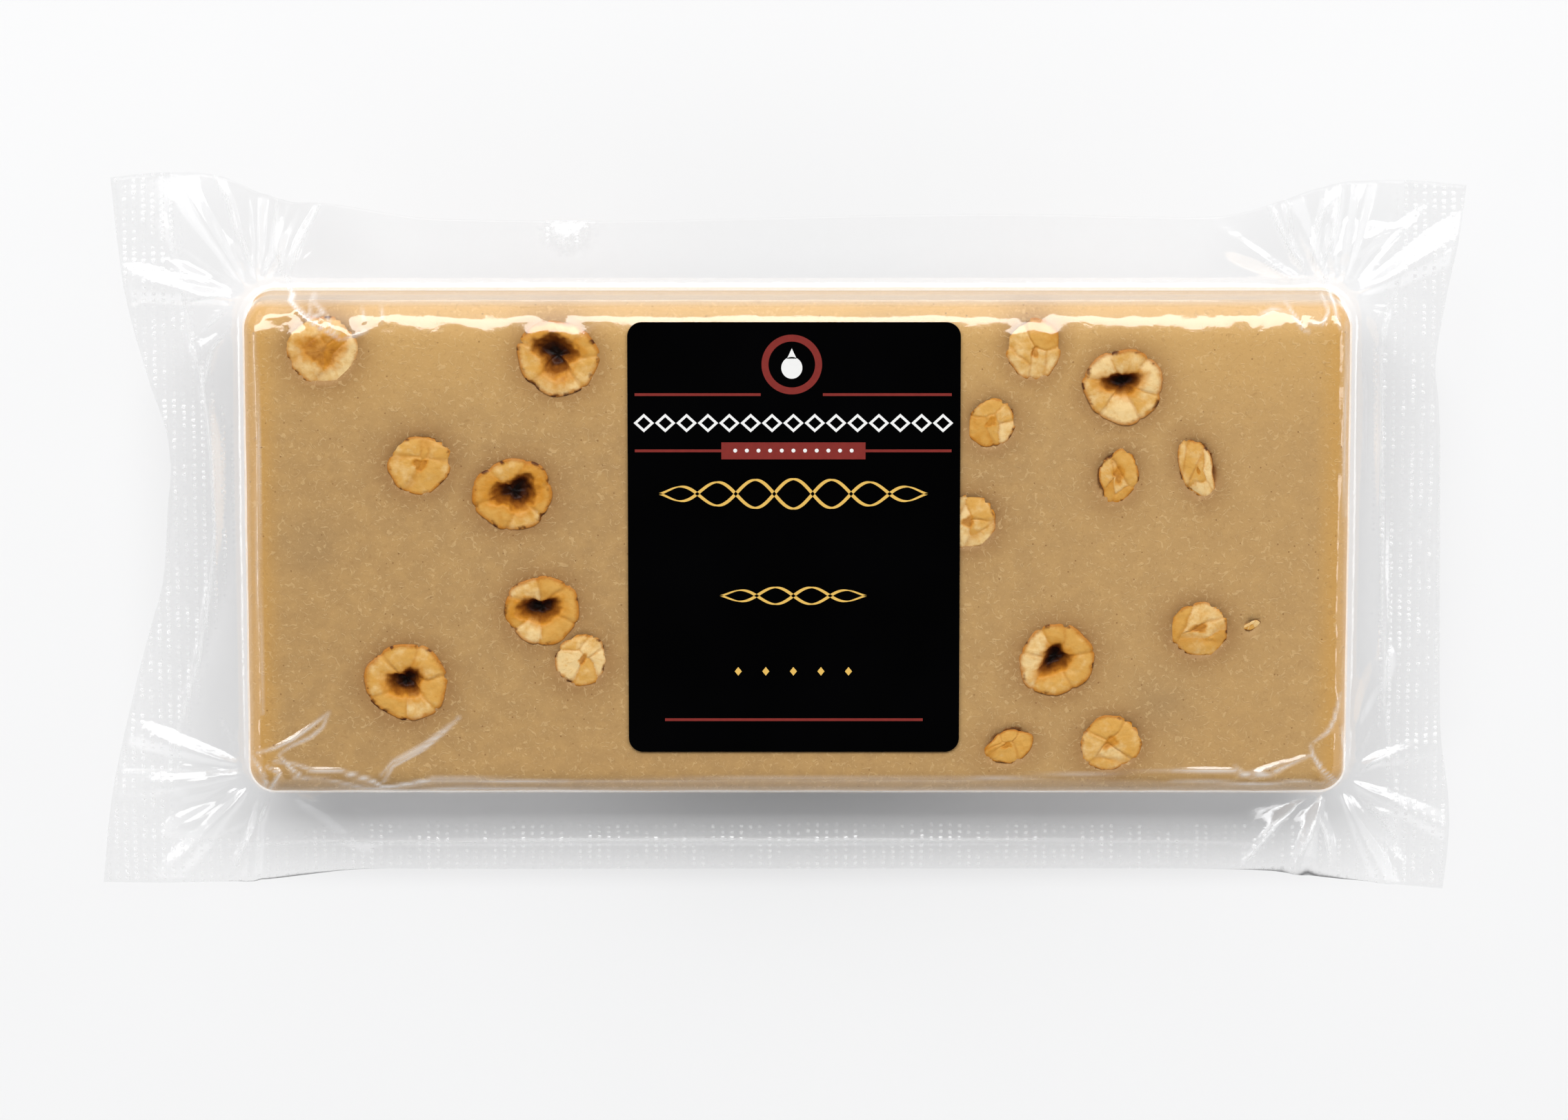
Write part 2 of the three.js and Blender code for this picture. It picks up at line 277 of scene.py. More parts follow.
def curve_through(points):
    """A smooth function through (position, value) points, by cubic pieces with their neighbours' slopes."""
    at, value = np.array(points, float).T
    ends = np.clip([np.arange(len(at)) - 1, np.arange(len(at)) + 1], 0, len(at) - 1)
    slope = (value[ends[1]] - value[ends[0]]) / (at[ends[1]] - at[ends[0]])

    def curve(where):
        i = np.clip(np.searchsorted(at, where, side="right") - 1, 0, len(at) - 2)
        span = at[i + 1] - at[i]
        t = np.clip((where - at[i]) / span, 0, 1)
        u = 1 - t
        bends = span * t * u * (slope[i] * u - slope[i + 1] * t)
        return value[i] * u * u * (1 + 2 * t) + value[i + 1] * t * t * (3 - 2 * t) + bends

    return curve


def edge_fall(x, y):
    """How far the face has sunk near the slab's two long edges, where it was pressed softer."""
    upper = 1.15 * (1 - smooth(0.5, 6.5, SLAB["half_width"] - y))
    lower = 0.8 * (1 - smooth(0.5, 5, SLAB["half_width"] + y))
    return upper + lower


cut_edge = {name: curve_through(points) for name, points in OUTLINE.items()}
print("pouch at its middle:", round(float(cut_edge["upper"](0.0) - cut_edge["lower"](0.0)), 1), "mm across")

# %% [markdown]
# A two-sided sheet is two like grids, one over the other, bridged round the rim: closed, and with no pole.
# Its points are then moved along the rings. The rings of a grid are square, so round a corner each is
# bent into a quarter circle, which keeps the cells even.

# %% A closed sheet laid in rings
def two_sided_sheet(front_cells, back_cells):
    """Two grids of columns by rows, one over the other, bridged round the rim."""
    sheet = bmesh.new()
    for height, (columns, rows) in ((1e-4, front_cells), (-1e-4, back_cells)):
        raised = Matrix.Translation((0, 0, height))
        bmesh.ops.create_grid(sheet, x_segments=columns, y_segments=rows, size=1, matrix=raised)
    rim = [edge for edge in sheet.edges if edge.is_boundary]
    bmesh.ops.bridge_loops(sheet, edges=rim)
    bmesh.ops.recalc_face_normals(sheet, faces=sheet.faces)
    data = bpy.data.meshes.new("sheet")
    sheet.to_mesh(data)
    sheet.free()
    return data


def mesh_points(data):
    points = np.empty(len(data.vertices) * 3)
    data.vertices.foreach_get("co", points)
    return points.reshape(-1, 3)


def set_points(data, points):
    data.vertices.foreach_set("co", (points * MM).astype(np.float32).ravel())
    data.polygons.foreach_set("use_smooth", [True] * len(data.polygons))
    data.update()


def keep(data, name, values):
    """Stores a number on each of the mesh's points, for its finish to read."""
    data.attributes.new(name, "FLOAT", "POINT").data.foreach_set("value", values.astype(np.float32))


def add_piece(name, data):
    piece = bpy.data.objects.new(name, data)
    bpy.context.scene.collection.objects.link(piece)
    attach(piece, "root")
    print(name, "faces:", len(data.polygons))
    return piece


class Rings:
    """Where each point of a grid belongs: its place in the slab's plan and the ring it is on."""

    def __init__(self, unit, rings, lines_x, lines_y):
        cells = lines_x[0][-1], lines_y[0][-1]
        columns, rows = cells[0] + 2 * rings, cells[1] + 2 * rings
        column, row = np.rint((unit[:, 0] + 1) / 2 * columns), np.rint((unit[:, 1] + 1) / 2 * rows)
        self.inner_x = np.interp(np.clip(column - rings, 0, cells[0]), *lines_x)
        self.inner_y = np.interp(np.clip(row - rings, 0, cells[1]), *lines_y)
        beyond_x = np.minimum(column - rings, 0) + np.maximum(column - rings - cells[0], 0)
        beyond_y = np.minimum(row - rings, 0) + np.maximum(row - rings - cells[1], 0)
        across, along = np.abs(beyond_x), np.abs(beyond_y)
        self.ring = np.maximum(across, along).astype(int)
        self.flatter = across >= along
        self.lean = np.minimum(across, along) / np.maximum(self.ring, 1)
        turn = np.where(self.flatter, math.pi / 4 * self.lean, math.pi / 2 - math.pi / 4 * self.lean)
        self.way_x = np.sign(beyond_x) * np.cos(turn)
        self.way_y = np.sign(beyond_y) * np.sin(turn)
        self.beside_x, self.beside_y = beyond_x == 0, beyond_y == 0

    def reached(self, reach):
        """The place that lies reach beyond the inner rectangle."""
        return self.inner_x + self.way_x * reach, self.inner_y + self.way_y * reach

    def rim(self):
        """Where each point's line meets the pouch's cut edge."""
        high, far = self.inner_y > 0, self.inner_x > 0
        corner_x = np.where(high, np.where(far, OUTLINE["upper"][-1][0], OUTLINE["upper"][0][0]),
                            np.where(far, OUTLINE["lower"][-1][0], OUTLINE["lower"][0][0]))
        corner_y = np.where(far, np.where(high, OUTLINE["right"][-1][0], OUTLINE["right"][0][0]),
                            np.where(high, OUTLINE["left"][-1][0], OUTLINE["left"][0][0]))
        x = np.where(self.beside_x, self.inner_x, self.inner_x + (corner_x - self.inner_x) * self.lean)
        y = np.where(self.beside_y, self.inner_y, self.inner_y + (corner_y - self.inner_y) * self.lean)
        end_x = np.where(far, cut_edge["right"](y), cut_edge["left"](y))
        end_y = np.where(high, cut_edge["upper"](x), cut_edge["lower"](x))
        return np.where(self.flatter, end_x, x), np.where(self.flatter, y, end_y)


def edge_stations(inset, flat_steps, round_steps, wall_rises):
    """Rings from the flat face over the rounded edge and down the wall: their reach and their depth."""
    rounding = SLAB["edge_round"]
    flat = SLAB["plan_corner"] - rounding
    stations = [(flat * step / flat_steps, 0) for step in range(flat_steps + 1)]
    for step in range(1, round_steps + 1):
        turn = step / round_steps * math.pi / 2
        stations.append((flat + rounding * math.sin(turn), rounding * (1 - math.cos(turn))))
    for rise in wall_rises:
        stations.append((SLAB["plan_corner"], SLAB["height"] - SEAM_HEIGHT - rise))
    reach, drop = np.array(stations).T
    return reach - inset * smooth(0, flat, reach), drop + inset * (1 - drop / SEAM_HEIGHT)


print("the slab's edge is rounded by", SLAB["edge_round"], "mm")

# %% [markdown]
# The hazelnuts sit in the slab's face where the cutting left them: cut across the hollow, split in halves,
# or broken. The list repeats the solid's nuts and adds how dark each was roasted and how wide its hollow
# is, as a share of its radius. The back gets its own nuts, flush with it. Slab and film both need the
# list, because one dips and the other rises over a nut. A few more nuts are buried just under the face:
# they only darken it, and their rows give a place and a radius.

# %% Where the nuts are
NUTS = [
    ("half", -85.5, 37, 13.4, 12.8, 0, 0.2, 0.5), ("ring", -43.1, 35.6, 15, 13.6, -20, 0.8, 0.6),
    ("half", -68.2, 16.1, 11.8, 10.8, 25, 0.45, 0.2), ("ring", -51.4, 10.6, 14.6, 13.2, 10, 0.9, 0.58),
    ("ring", -46.2, -10.8, 13.6, 12.8, 0, 0.6, 0.5), ("ring", -70.9, -24.1, 15.2, 14.2, -15, 0.35, 0.44),
    ("half", -39.2, -20, 9.8, 9.4, 60, 0.1, 0.15), ("half", 42.5, 37.2, 11.2, 10, 90, 0.6, 0.15),
    ("ring", 58.7, 30.4, 14.4, 13.8, 0, 0.15, 0.42), ("half", 35, 23.7, 9.2, 8.4, 60, 0.7, 0.2),
    ("chip", 57.8, 14, 9.8, 7.6, 80, 0.95, 0.3), ("chip", 72.2, 15.5, 11.6, 6.6, -72, 0.3, 0.1),
    ("half", 30.8, 5.6, 10.6, 10.2, 0, 0.3, 0.2), ("half", 72.9, -14.4, 11, 10.2, 0, 0.7, 0.2),
    ("ring", 47, -20, 14, 13, 35, 0.4, 0.46), ("half", 57, -35.5, 11.4, 10.2, 15, 0.5, 0.2),
    ("chip", 38.5, -36, 9, 6.4, 20, 0.6, 0.2), ("chip", 82.4, -13.5, 3.4, 1.6, 25, 0.7, 0.1),
]
BACK_NUTS = [
    ("ring", -78, 22, 14.6, 13.6, 40, 0.4, 0.55), ("half", -58, -14, 11.6, 10.6, 10, 0.5, 0.2),
    ("chip", -84, -26, 10.4, 7, 70, 0.7, 0.2), ("ring", -30, 26, 13.8, 13, -10, 0.7, 0.6),
    ("half", -22, -30, 10.8, 10, 30, 0.3, 0.3), ("ring", 6, -4, 15, 14, 0, 0.2, 0.5),
    ("half", 32, 30, 11.2, 10.4, 55, 0.55, 0.2), ("chip", 40, -24, 9.6, 6.6, -30, 0.8, 0.2),
    ("ring", 66, 4, 14.2, 13.2, 20, 0.5, 0.6), ("half", 84, -30, 10.6, 9.8, 0, 0.4, 0.2),
    ("chip", 80, 32, 8.6, 6, 15, 0.5, 0.2),
]
BURIED = [(-88, 1, 6), (16, 38, 5), (66, -28, 6)]
NUT_CREST = 0.35
HOLLOW_DEPTH = 3.3
COLUMNS = ("kind", "x", "y", "long", "wide", "turn", "roast", "mouth")
face_nuts = [dict(zip(COLUMNS, row), facing=1) for row in NUTS]
back_nuts = [dict(zip(COLUMNS, row), facing=-1) for row in BACK_NUTS]


def nut_share(nut, x, y):
    """How far a place is from the nut's middle, as a share of its radius there."""
    turn = math.radians(nut["turn"])
    along = (x - nut["x"]) * math.cos(turn) + (y - nut["y"]) * math.sin(turn)
    across = (y - nut["y"]) * math.cos(turn) - (x - nut["x"]) * math.sin(turn)
    return np.hypot(along / (nut["long"] / 2), across / (nut["wide"] / 2))


def ripple(x, y, size, seed):
    """Gentle unevenness between -1 and 1, with lumps of the given size."""
    steps = [noise.noise(Vector((a / size, b / size, seed))) for a, b in zip(x.tolist(), y.tolist())]
    return np.array(steps)


print(len(face_nuts), "nuts in the face and", len(back_nuts), "in the back")

# %% [markdown]
# Nougat paste is spread between boards and pressed, so the slab is flat, with softly rounded edges that
# wander a little. The face dips under each nut, where the nut's own body takes over. The darker ring
# round each nut is partly oil in the paste and partly painted shade, where the face dips and the film
# bridges to the nut. It is stored on the points, because it follows the nuts' outlines.
# The slab is left out of the light that bounces on to the table, as the film is, so that no warm glow
# lies round the pouch.

# %% The slab
SLAB_CELLS = (190, 80)
SLAB_INSET = 0.25
DIP = 4.9
EDGE_WANDER = 0.2

slab_reach, slab_drop = edge_stations(SLAB_INSET, 2, 8, (6, 3, 0.02))
slab_rings = len(slab_reach) - 1
half_x = SLAB["half_length"] - SLAB["plan_corner"]
half_y = SLAB["half_width"] - SLAB["plan_corner"]
slab_grid = [cells + 2 * slab_rings for cells in SLAB_CELLS]
slab_data = two_sided_sheet(slab_grid, slab_grid)
unit = mesh_points(slab_data)
front = unit[:, 2] > 0
lines_x = (0, SLAB_CELLS[0]), (-half_x, half_x)
lines_y = (0, SLAB_CELLS[1]), (-half_y, half_y)
laid = Rings(unit, slab_rings, lines_x, lines_y)
x, y = laid.reached(slab_reach[laid.ring])
down = slab_drop[laid.ring]
wander = EDGE_WANDER * np.abs(ripple(x, y, 13, 3)) * smooth(0, 3, down)
x = x - laid.way_x * wander
y = y - laid.way_y * wander
fall = edge_fall(x, y) * np.maximum(0, 1 - down / SEAM_HEIGHT)
z = np.where(front, SLAB["height"] - down - fall, down)

# Painted shade: a darker ring round each nut, partly oil and partly shade where the face dips.
nut_oil_and_shade = np.zeros(len(x))
for nut in face_nuts + back_nuts:
    share = nut_share(nut, x, y)
    this_side = front if nut["facing"] > 0 else ~front
    radius = (nut["long"] + nut["wide"]) / 4
    beyond = np.maximum(share - 1, 0) * radius
    nut_oil_and_shade = np.maximum(nut_oil_and_shade, this_side * min(1, radius / 5) * np.exp(-(beyond / 2.5) ** 1.3))
    dip = nut["facing"] * DIP * min(1, radius / 4) * (1 - smooth(0.62, 0.9, share))
    z = z - this_side * dip
buried = np.zeros(len(x))
for at_x, at_y, radius in BURIED:
    buried = np.maximum(buried, np.exp(-(np.hypot(x - at_x, y - at_y) / radius) ** 2))

set_points(slab_data, np.column_stack([x, y, z]))
keep(slab_data, "nut_oil_and_shade", nut_oil_and_shade)
keep(slab_data, "buried", buried * front)
slab = add_piece("nougat_slab", slab_data)
slab.visible_diffuse = False

# %% [markdown]
# Hazelnut nougat is a fine tan paste, oily and satin. Close up it is full of tiny curled fibres of nut and
# pin-head specks. The fibres here are the contour lines of a warped noise, broken up by a second noise,
# which gives short worm-like curls at the right size. Toward the ends, where the film presses hardest, the
# paste has gone amber. Its upper side is painted paler and warmer, as painted light from above, with a
# greyer line at the very edge, and round the nuts it is darker and greyer, partly oil and partly painted
# shade.

# %% Nougat finish
def curls(finish, where, scale, shift, thick, share):
    """Short worm-like lines: contours of a warped noise, kept only where a second noise is high."""
    moved = put(finish, "Mapping", {"Vector": where, "Location": (shift, -shift, 0)})
    warped = grain(finish, moved, scale, detail=1, distortion=0.8)
    off = maths(finish, "ABSOLUTE", maths(finish, "SUBTRACT", warped, 0.5))
    line = band(finish, off, 0.2 * thick, thick, 1, 0)
    gaps = band(finish, grain(finish, moved, scale * 2.1, detail=0), 1 - share, 1 - share + 0.06)
    return times(finish, line, gaps)


paste = new_finish("nougat_paste")
where = place_on(paste)
split = put(paste, "SeparateXYZ", {"Vector": where})
split_y = split.node.outputs["Y"]
body = blend(paste, grain(paste, where, 0.03, detail=3), tone(169, 134, 88), tone(185, 147, 94))
cloudy = band(paste, grain(paste, where, 0.3, detail=4, rough=0.6), 0.35, 0.7, 0, 0.4)
body = blend(paste, cloudy, body, tone(200, 160, 102))
body = blend(paste, band(paste, split, 0, 75, 0, 0.3), body, tone(202, 162, 106))
# Painted light: the upper side is painted paler and warmer, as if lit more by the light above.
body = blend(paste, band(paste, split_y, 16, 45, 0, 0.72), body, tone(214, 170, 104))
amber_ends = band(paste, maths(paste, "ABSOLUTE", split), 92.5, 98.5, 0, 0.75)
body = blend(paste, amber_ends, body, tone(206, 156, 80))
body = blend(paste, band(paste, split_y, 44.2, 45.4), body, tone(198, 168, 130))
# Round the nuts the paste goes darker and greyer: partly oil, partly painted shade.
body = blend(paste, times(paste, kept(paste, "nut_oil_and_shade"), 0.6), body, tone(144, 102, 58))
body = blend(paste, times(paste, kept(paste, "buried"), 0.3), body, tone(136, 112, 84))
pale_curls = curls(paste, where, 0.5, 0, 0.036, 0.5)
dark_curls = curls(paste, where, 0.58, 40, 0.034, 0.46)
tiny_curls = curls(paste, where, 0.95, 80, 0.045, 0.5)
body = blend(paste, times(paste, dark_curls, 0.2), body, tone(146, 104, 58))
body = blend(paste, times(paste, pale_curls, 0.27), body, tone(232, 198, 144))
body = blend(paste, times(paste, tiny_curls, 0.16), body, tone(226, 190, 134))
seeds = put(paste, "TexVoronoi", {"Vector": where, "Scale": 0.62}, "Distance")
few = put(paste, "TexVoronoi", {"Vector": where, "Scale": 0.62}, "Color")
specks = times(paste, band(paste, seeds, 0.06, 0.13, 1, 0), band(paste, few, 0.6, 0.64))
body = blend(paste, times(paste, specks, 0.6), body, tone(120, 76, 36))
bumps = plus(paste, grain(paste, where, 0.8, detail=4), times(paste, pale_curls, 0.4))
paste_shader = put(paste, "BsdfPrincipled", {
    "Base Color": body, "Roughness": 0.55, "Specular IOR Level": 0.25,
    "Normal": relief(paste, bumps, 0.12, 0.6)})
close_finish(paste, paste_shader)
slab_data.materials.append(paste)
print("nougat finish:", len(paste.node_tree.nodes), "nodes")

# %% [markdown]
# Each nut is turned like a bowl: a profile is spun about its axis, and then the round form is broken. Its
# rim gets lobes, its top breaks into facets, and a cut nut gets the crooked hollow that runs down its
# middle. How far out a point is, how near a line between facets, how deep in the hollow, and how dark the
# roast, is stored on the points for the finish. All nuts of a kind are one piece.

# %% Nut shapes
SPIN_STEPS = 96
TOP_RINGS = 26
BODY_DEPTH = 3.2
rng = np.random.default_rng(7)


def spun_nut():
    """A closed round body: even rings over the top, a side and a bottom. Its radius is 1."""
    nut = bmesh.new()
    outline = [(step / TOP_RINGS, 0) for step in range(TOP_RINGS + 1)]
    outline += [(1.0, -0.35), (0.93, -1.2), (0.7, -2.6), (0.35, -BODY_DEPTH), (0, -BODY_DEPTH)]
    points = [nut.verts.new((share, 0, height)) for share, height in outline]
    lines = [nut.edges.new(pair) for pair in zip(points, points[1:])]
    bmesh.ops.spin(nut, geom=points + lines, cent=(0, 0, 0), axis=(0, 0, 1), angle=math.tau,
                   steps=SPIN_STEPS, use_merge=True)
    bmesh.ops.remove_doubles(nut, verts=nut.verts, dist=1e-5)
    bmesh.ops.recalc_face_normals(nut, faces=nut.faces)
    return nut


def facets(across, along, seeds):
    """Splits a nut's top into facets, each nearest to its seed: how low they lie, the lines, a tone."""
    bend = 0.1 * ripple(across, along, 0.5, rng.uniform(0, 9))
    away = np.hypot((across + bend)[:, None] - seeds[:, 0], (along - bend)[:, None] - seeds[:, 1])
    nearest = np.argmin(away, axis=1)
    two = np.partition(away, 1, axis=1)
    line = np.exp(-((two[:, 1] - two[:, 0]) / 0.07) ** 2)
    tilt = rng.uniform(-0.55, 0.55, (len(seeds), 2))
    off = np.column_stack([across, along]) - seeds[nearest]
    sunk = np.maximum(0, rng.uniform(0, 0.25, len(seeds))[nearest] + (tilt[nearest] * off).sum(axis=1))
    return sunk, line, rng.uniform(0, 1, len(seeds))[nearest]


def shaped_nut(nut):
    """The nut's points in millimetres, with the numbers that its finish reads."""
    data = bpy.data.meshes.new("nut")
    turned = spun_nut()
    turned.to_mesh(data)
    turned.free()
    unit = mesh_points(data)
    across, along = unit[:, 0], unit[:, 1]
    share, angle = np.hypot(across, along), np.arctan2(along, across)
    phase = rng.uniform(0, math.tau, 6)
    top = unit[:, 2] > -0.01
    radius = (nut["long"] + nut["wide"]) / 4
    size = min(1, radius / 6)
    lumps = ripple(across * radius, along * radius, 2.6, phase[3] * 7)
    fine = ripple(across * radius, along * radius, 0.9, phase[4] * 7)
    whole = nut["kind"] == "ring"
    count = 6 if whole else 5
    if whole:
        turns = phase[0] + (np.arange(count) + rng.uniform(-0.35, 0.35, count)) * math.tau / count
        seeds = 0.72 * np.column_stack([np.cos(turns), np.sin(turns)])
    else:
        seeds = rng.uniform(-0.7, 0.7, (count, 2))
    sunk, groove, shade = facets(across, along, seeds)
    mouth = nut["mouth"] * (1 + 0.14 * np.sin(2 * angle + phase[0]) + 0.12 * np.sin(3 * angle + phase[1])
                            + 0.07 * np.sin(5 * angle + phase[2]) + 0.16 * fine)
    centre_x, centre_y = rng.uniform(-0.09, 0.09, 2)
    wider = rng.uniform(1, 1.25)
    hollow = 1 - np.hypot((across - centre_x) / wider, (along - centre_y) * wider) / mouth
    if whole:
        bowl = np.maximum(-0.4, 1 - ((share - 0.72) / 0.4) ** 2)
        height = NUT_CREST * bowl - HOLLOW_DEPTH * smooth(0, 0.6, hollow)
    else:
        hollow = np.minimum(hollow, 0.15)
        scorched_side = math.radians(40) - (nut["kind"] == "chip") * phase[5]
        scorched = smooth(0.72, 1.06, share * np.cos(angle - scorched_side))
        height = NUT_CREST * (1.05 - share ** 2.4) - 0.8 * np.maximum(hollow, 0) - 0.3 * scorched
        hollow = np.maximum(hollow, 1.5 * scorched - 1)
    uneven = 0.12 * lumps * smooth(0.1, 0.4, share) + 0.05 * fine
    height = size * (height - 0.5 * sunk - 0.16 * groove + uneven)
    height = np.minimum(height, 0.12 + (NUT_CREST + 0.05) * size * (1 - smooth(0.7, 1.12, share)))
    lobes = 1 + 0.03 * np.sin(3 * angle + phase[1]) + 0.02 * np.sin(7 * angle + phase[2])
    edge = smooth(0.8, 1, share)
    reach = share * (lobes - 0.04 * groove * edge - 0.02 * np.abs(fine) * edge)
    if nut["kind"] == "chip":
        reach = reach * (1 - 0.16 * np.maximum(0, np.sin(angle)) ** 2 + 0.06 * np.sin(4 * angle + phase[3]))
    local_x = reach * np.cos(angle) * nut["long"] / 2
    local_y = reach * np.sin(angle) * nut["wide"] / 2
    turn = math.radians(nut["turn"])
    x = nut["x"] + local_x * math.cos(turn) - local_y * math.sin(turn)
    y = nut["y"] + local_x * math.sin(turn) + local_y * math.cos(turn)
    deeper = 1.8 * (unit[:, 2] < -2) * whole
    height = np.where(top, height, unit[:, 2] * size - deeper)
    if nut["facing"] < 0:
        height = np.minimum(height - 0.3, 0)
        level = SLAB_INSET
    else:
        level = SLAB["height"] - SLAB_INSET - edge_fall(x, y)
    set_points(data, np.column_stack([x, y, level + nut["facing"] * height]))
    if nut["facing"] < 0:
        data.flip_normals()
    keep(data, "share", np.where(top, share, 1.0))
    keep(data, "groove", np.where(top, groove, 0.0))
    keep(data, "hollow", np.where(top, np.maximum(hollow, -1), -1.0))
    # Each facet's tone is random, and partly painted light and shade for the shallow facets.
    keep(data, "shade", shade)
    keep(data, "roast", np.full(len(share), nut["roast"]))
    keep(data, "spoke_x", np.cos(angle))
    keep(data, "spoke_y", np.sin(angle))
    return data


def nuts_of(kind):
    """One piece of all the nuts of a kind."""
    joined = bmesh.new()
    for nut in face_nuts + back_nuts:
        if nut["kind"] == kind:
            joined.from_mesh(shaped_nut(nut))
    data = bpy.data.meshes.new("hazelnut_" + kind)
    joined.to_mesh(data)
    joined.free()
    return add_piece("hazelnut_" + kind, data)


nut_pieces = [nuts_of(kind) for kind in ("ring", "half", "chip")]

# %% [markdown]
# A roasted kernel is cream on its cut face, amber where it is thin or toasted, and brown in its hollow
# and along the rim, where scraps of skin stay. Deeper in the hollow it is painted dark brown and near
# black, as painted shade in the hole. Radial streaks come from a noise that is read by direction from
# the nut's middle, so that they run out from it on every nut alike.

# %% Nut finish
kernel = new_finish("roasted_kernel")
share, groove, hollow = kept(kernel, "share"), kept(kernel, "groove"), kept(kernel, "hollow")
roast, shade = kept(kernel, "roast"), kept(kernel, "shade")
where = place_on(kernel)
spoke = put(kernel, "CombineXYZ", {"X": kept(kernel, "spoke_x"), "Y": kept(kernel, "spoke_y"), "Z": share})
streak = grain(kernel, spoke, 4.5, detail=3, rough=0.6)
patches = grain(kernel, where, 0.42, detail=3, rough=0.6)
uneven = times(kernel, maths(kernel, "SUBTRACT", patches, 0.5), 1.3)
# The facets' tone goes into the gold: random per facet, and partly painted light and shade of the facets.
golden = plus(kernel, plus(kernel, times(kernel, shade, 0.7), uneven), times(kernel, roast, 0.5))
flesh = blend(kernel, band(kernel, golden, 0.1, 0.75), tone(236, 203, 144), tone(214, 162, 82))
flesh = blend(kernel, band(kernel, golden, 0.75, 1.5, 0, 0.9), flesh, tone(194, 126, 32))
flesh = blend(kernel, band(kernel, streak, 0.5, 0.72, 0, 0.4), flesh, tone(210, 150, 62))
flesh = blend(kernel, times(kernel, groove, 0.4), flesh, tone(184, 118, 36))
rim = band(kernel, plus(kernel, share, times(kernel, streak, 0.14)), 0.92, 1.07)
flesh = blend(kernel, times(kernel, rim, 0.85), flesh, tone(178, 108, 28))
scraps = times(kernel, rim, band(kernel, grain(kernel, where, 0.5, detail=2), 0.54, 0.66))
flesh = blend(kernel, scraps, flesh, tone(84, 42, 14))
crumbs = grain(kernel, where, 0.6, detail=3, rough=0.5)
loose = times(kernel, maths(kernel, "SUBTRACT", crumbs, 0.5), 0.4)
depth = plus(kernel, hollow, plus(kernel, loose, times(kernel, streak, 0.15)))
flesh = blend(kernel, band(kernel, depth, -0.35, 0.25, 0, 0.8), flesh, tone(204, 134, 36))
flesh = blend(kernel, band(kernel, depth, 0.1, 0.45, 0, 0.9), flesh, tone(140, 78, 20))
# Painted shade: deeper in the hollow the kernel goes dark brown and then near black, as shade in the hole.
flesh = blend(kernel, band(kernel, depth, 0.38, 0.7), flesh, tone(66, 30, 10))
flesh = blend(kernel, band(kernel, depth, 0.66, 0.9), flesh, tone(20, 9, 5))
pits = plus(kernel, times(kernel, streak, 0.4), grain(kernel, where, 0.7, detail=3))
kernel_shader = put(kernel, "BsdfPrincipled", {
    "Base Color": flesh, "Roughness": 0.4, "Specular IOR Level": 0.15,
    "Normal": relief(kernel, pits, 0.25, 0.7)})
close_finish(kernel, kernel_shader)
for piece in nut_pieces:
    piece.data.materials.append(kernel)
print("nut finish on:", [piece.name for piece in nut_pieces])

# %% [markdown]
# The pouch is two sheets of clear film, welded together along the edges. Over the slab it is stretched
# tight and only stands off in a few wrinkles near the corners. Outside the slab the two sheets lie on each
# other as a skirt, which gathers into fans of folds at the slab's corners, where there is too much film
# for the vacuum to smooth. The first table repeats the solid's fans and waves.

# %% The skirt's main folds
FANS = [
    (-1, 1, [(170, 2.2, 13), (148, -1, 10), (121, 2.4, 8), (103, -1, 8), (89, 2, 7), (69, 1.5, 8)]),
    (1, 1, [(28, 2.6, 14), (54, -1, 9), (78, 2.2, 8), (97, 1.5, 6), (116, 1.9, 8), (150, 1.5, 9)]),
    (-1, -1, [(163, 2.3, 10), (188, 1.4, 9), (207, -1, 9), (228, 2.1, 9), (262, 1.8, 8), (325, 1.3, 10)]),
    (1, -1, [(66, 1.7, 9), (14, 1.2, 12), (-27, 2, 9), (-46, -1.4, 9), (-64, 2.2, 8), (-108, 1.9, 9)]),
]
FAN_SOFTENING = 0.6
FAN_INSET = 2
FAN_RISE = (3, 9)
FAN_FADE = (17, 34)
WAVES = [(90, -62, 11, 3.4), (-104, 66, 11, 2.6), (-93, 60, 8, -1.4), (84, 61, 10, 1.6), (-116, 14, 16, 1.8),
         (117, 22, 15, 1.5), (-84, -60, 12, -1.6)]


def outside(x, y):
    """How far a place is outside the slab's plan."""
    beyond_end = np.maximum(np.abs(x) - SLAB["half_length"], 0)
    beyond_side = np.maximum(np.abs(y) - SLAB["half_width"], 0)
    return np.hypot(beyond_end, beyond_side)


def from_corner(x, y, side_x, side_y):
    """Distance and direction, in degrees, from the point where a corner's folds meet."""
    dx = x - side_x * (SLAB["half_length"] - FAN_INSET)
    dy = y - side_y * (SLAB["half_width"] - FAN_INSET)
    return np.hypot(dx, dy), np.degrees(np.arctan2(dy, dx))


def skirt_height(x, y):
    """The height of the skirt's middle: it droops outwards, waves slowly and gathers at the corners."""
    out = outside(x, y)
    z = SEAM_HEIGHT - DROOP * out * out
    for wave_x, wave_y, radius, rise in WAVES:
        away = np.hypot(x - wave_x, y - wave_y) / radius
        z = z + rise * np.exp(-away * away) * smooth(FOOT_REACH, 3 * FOOT_REACH, out)
    for side_x, side_y, folds in FANS:
        away, angle = from_corner(x, y, side_x, side_y)
        strength = FAN_SOFTENING * smooth(*FAN_RISE, away) * (1 - smooth(*FAN_FADE, away))
        for at, height, half_width in folds:
            off = np.abs((angle - at + 180) % 360 - 180) / half_width
            z = z + height * strength * np.where(off < 1, 0.5 + 0.5 * np.cos(math.pi * np.minimum(off, 1)), 0)
    return z


print("main folds:", sum(len(folds) for _, _, folds in FANS))

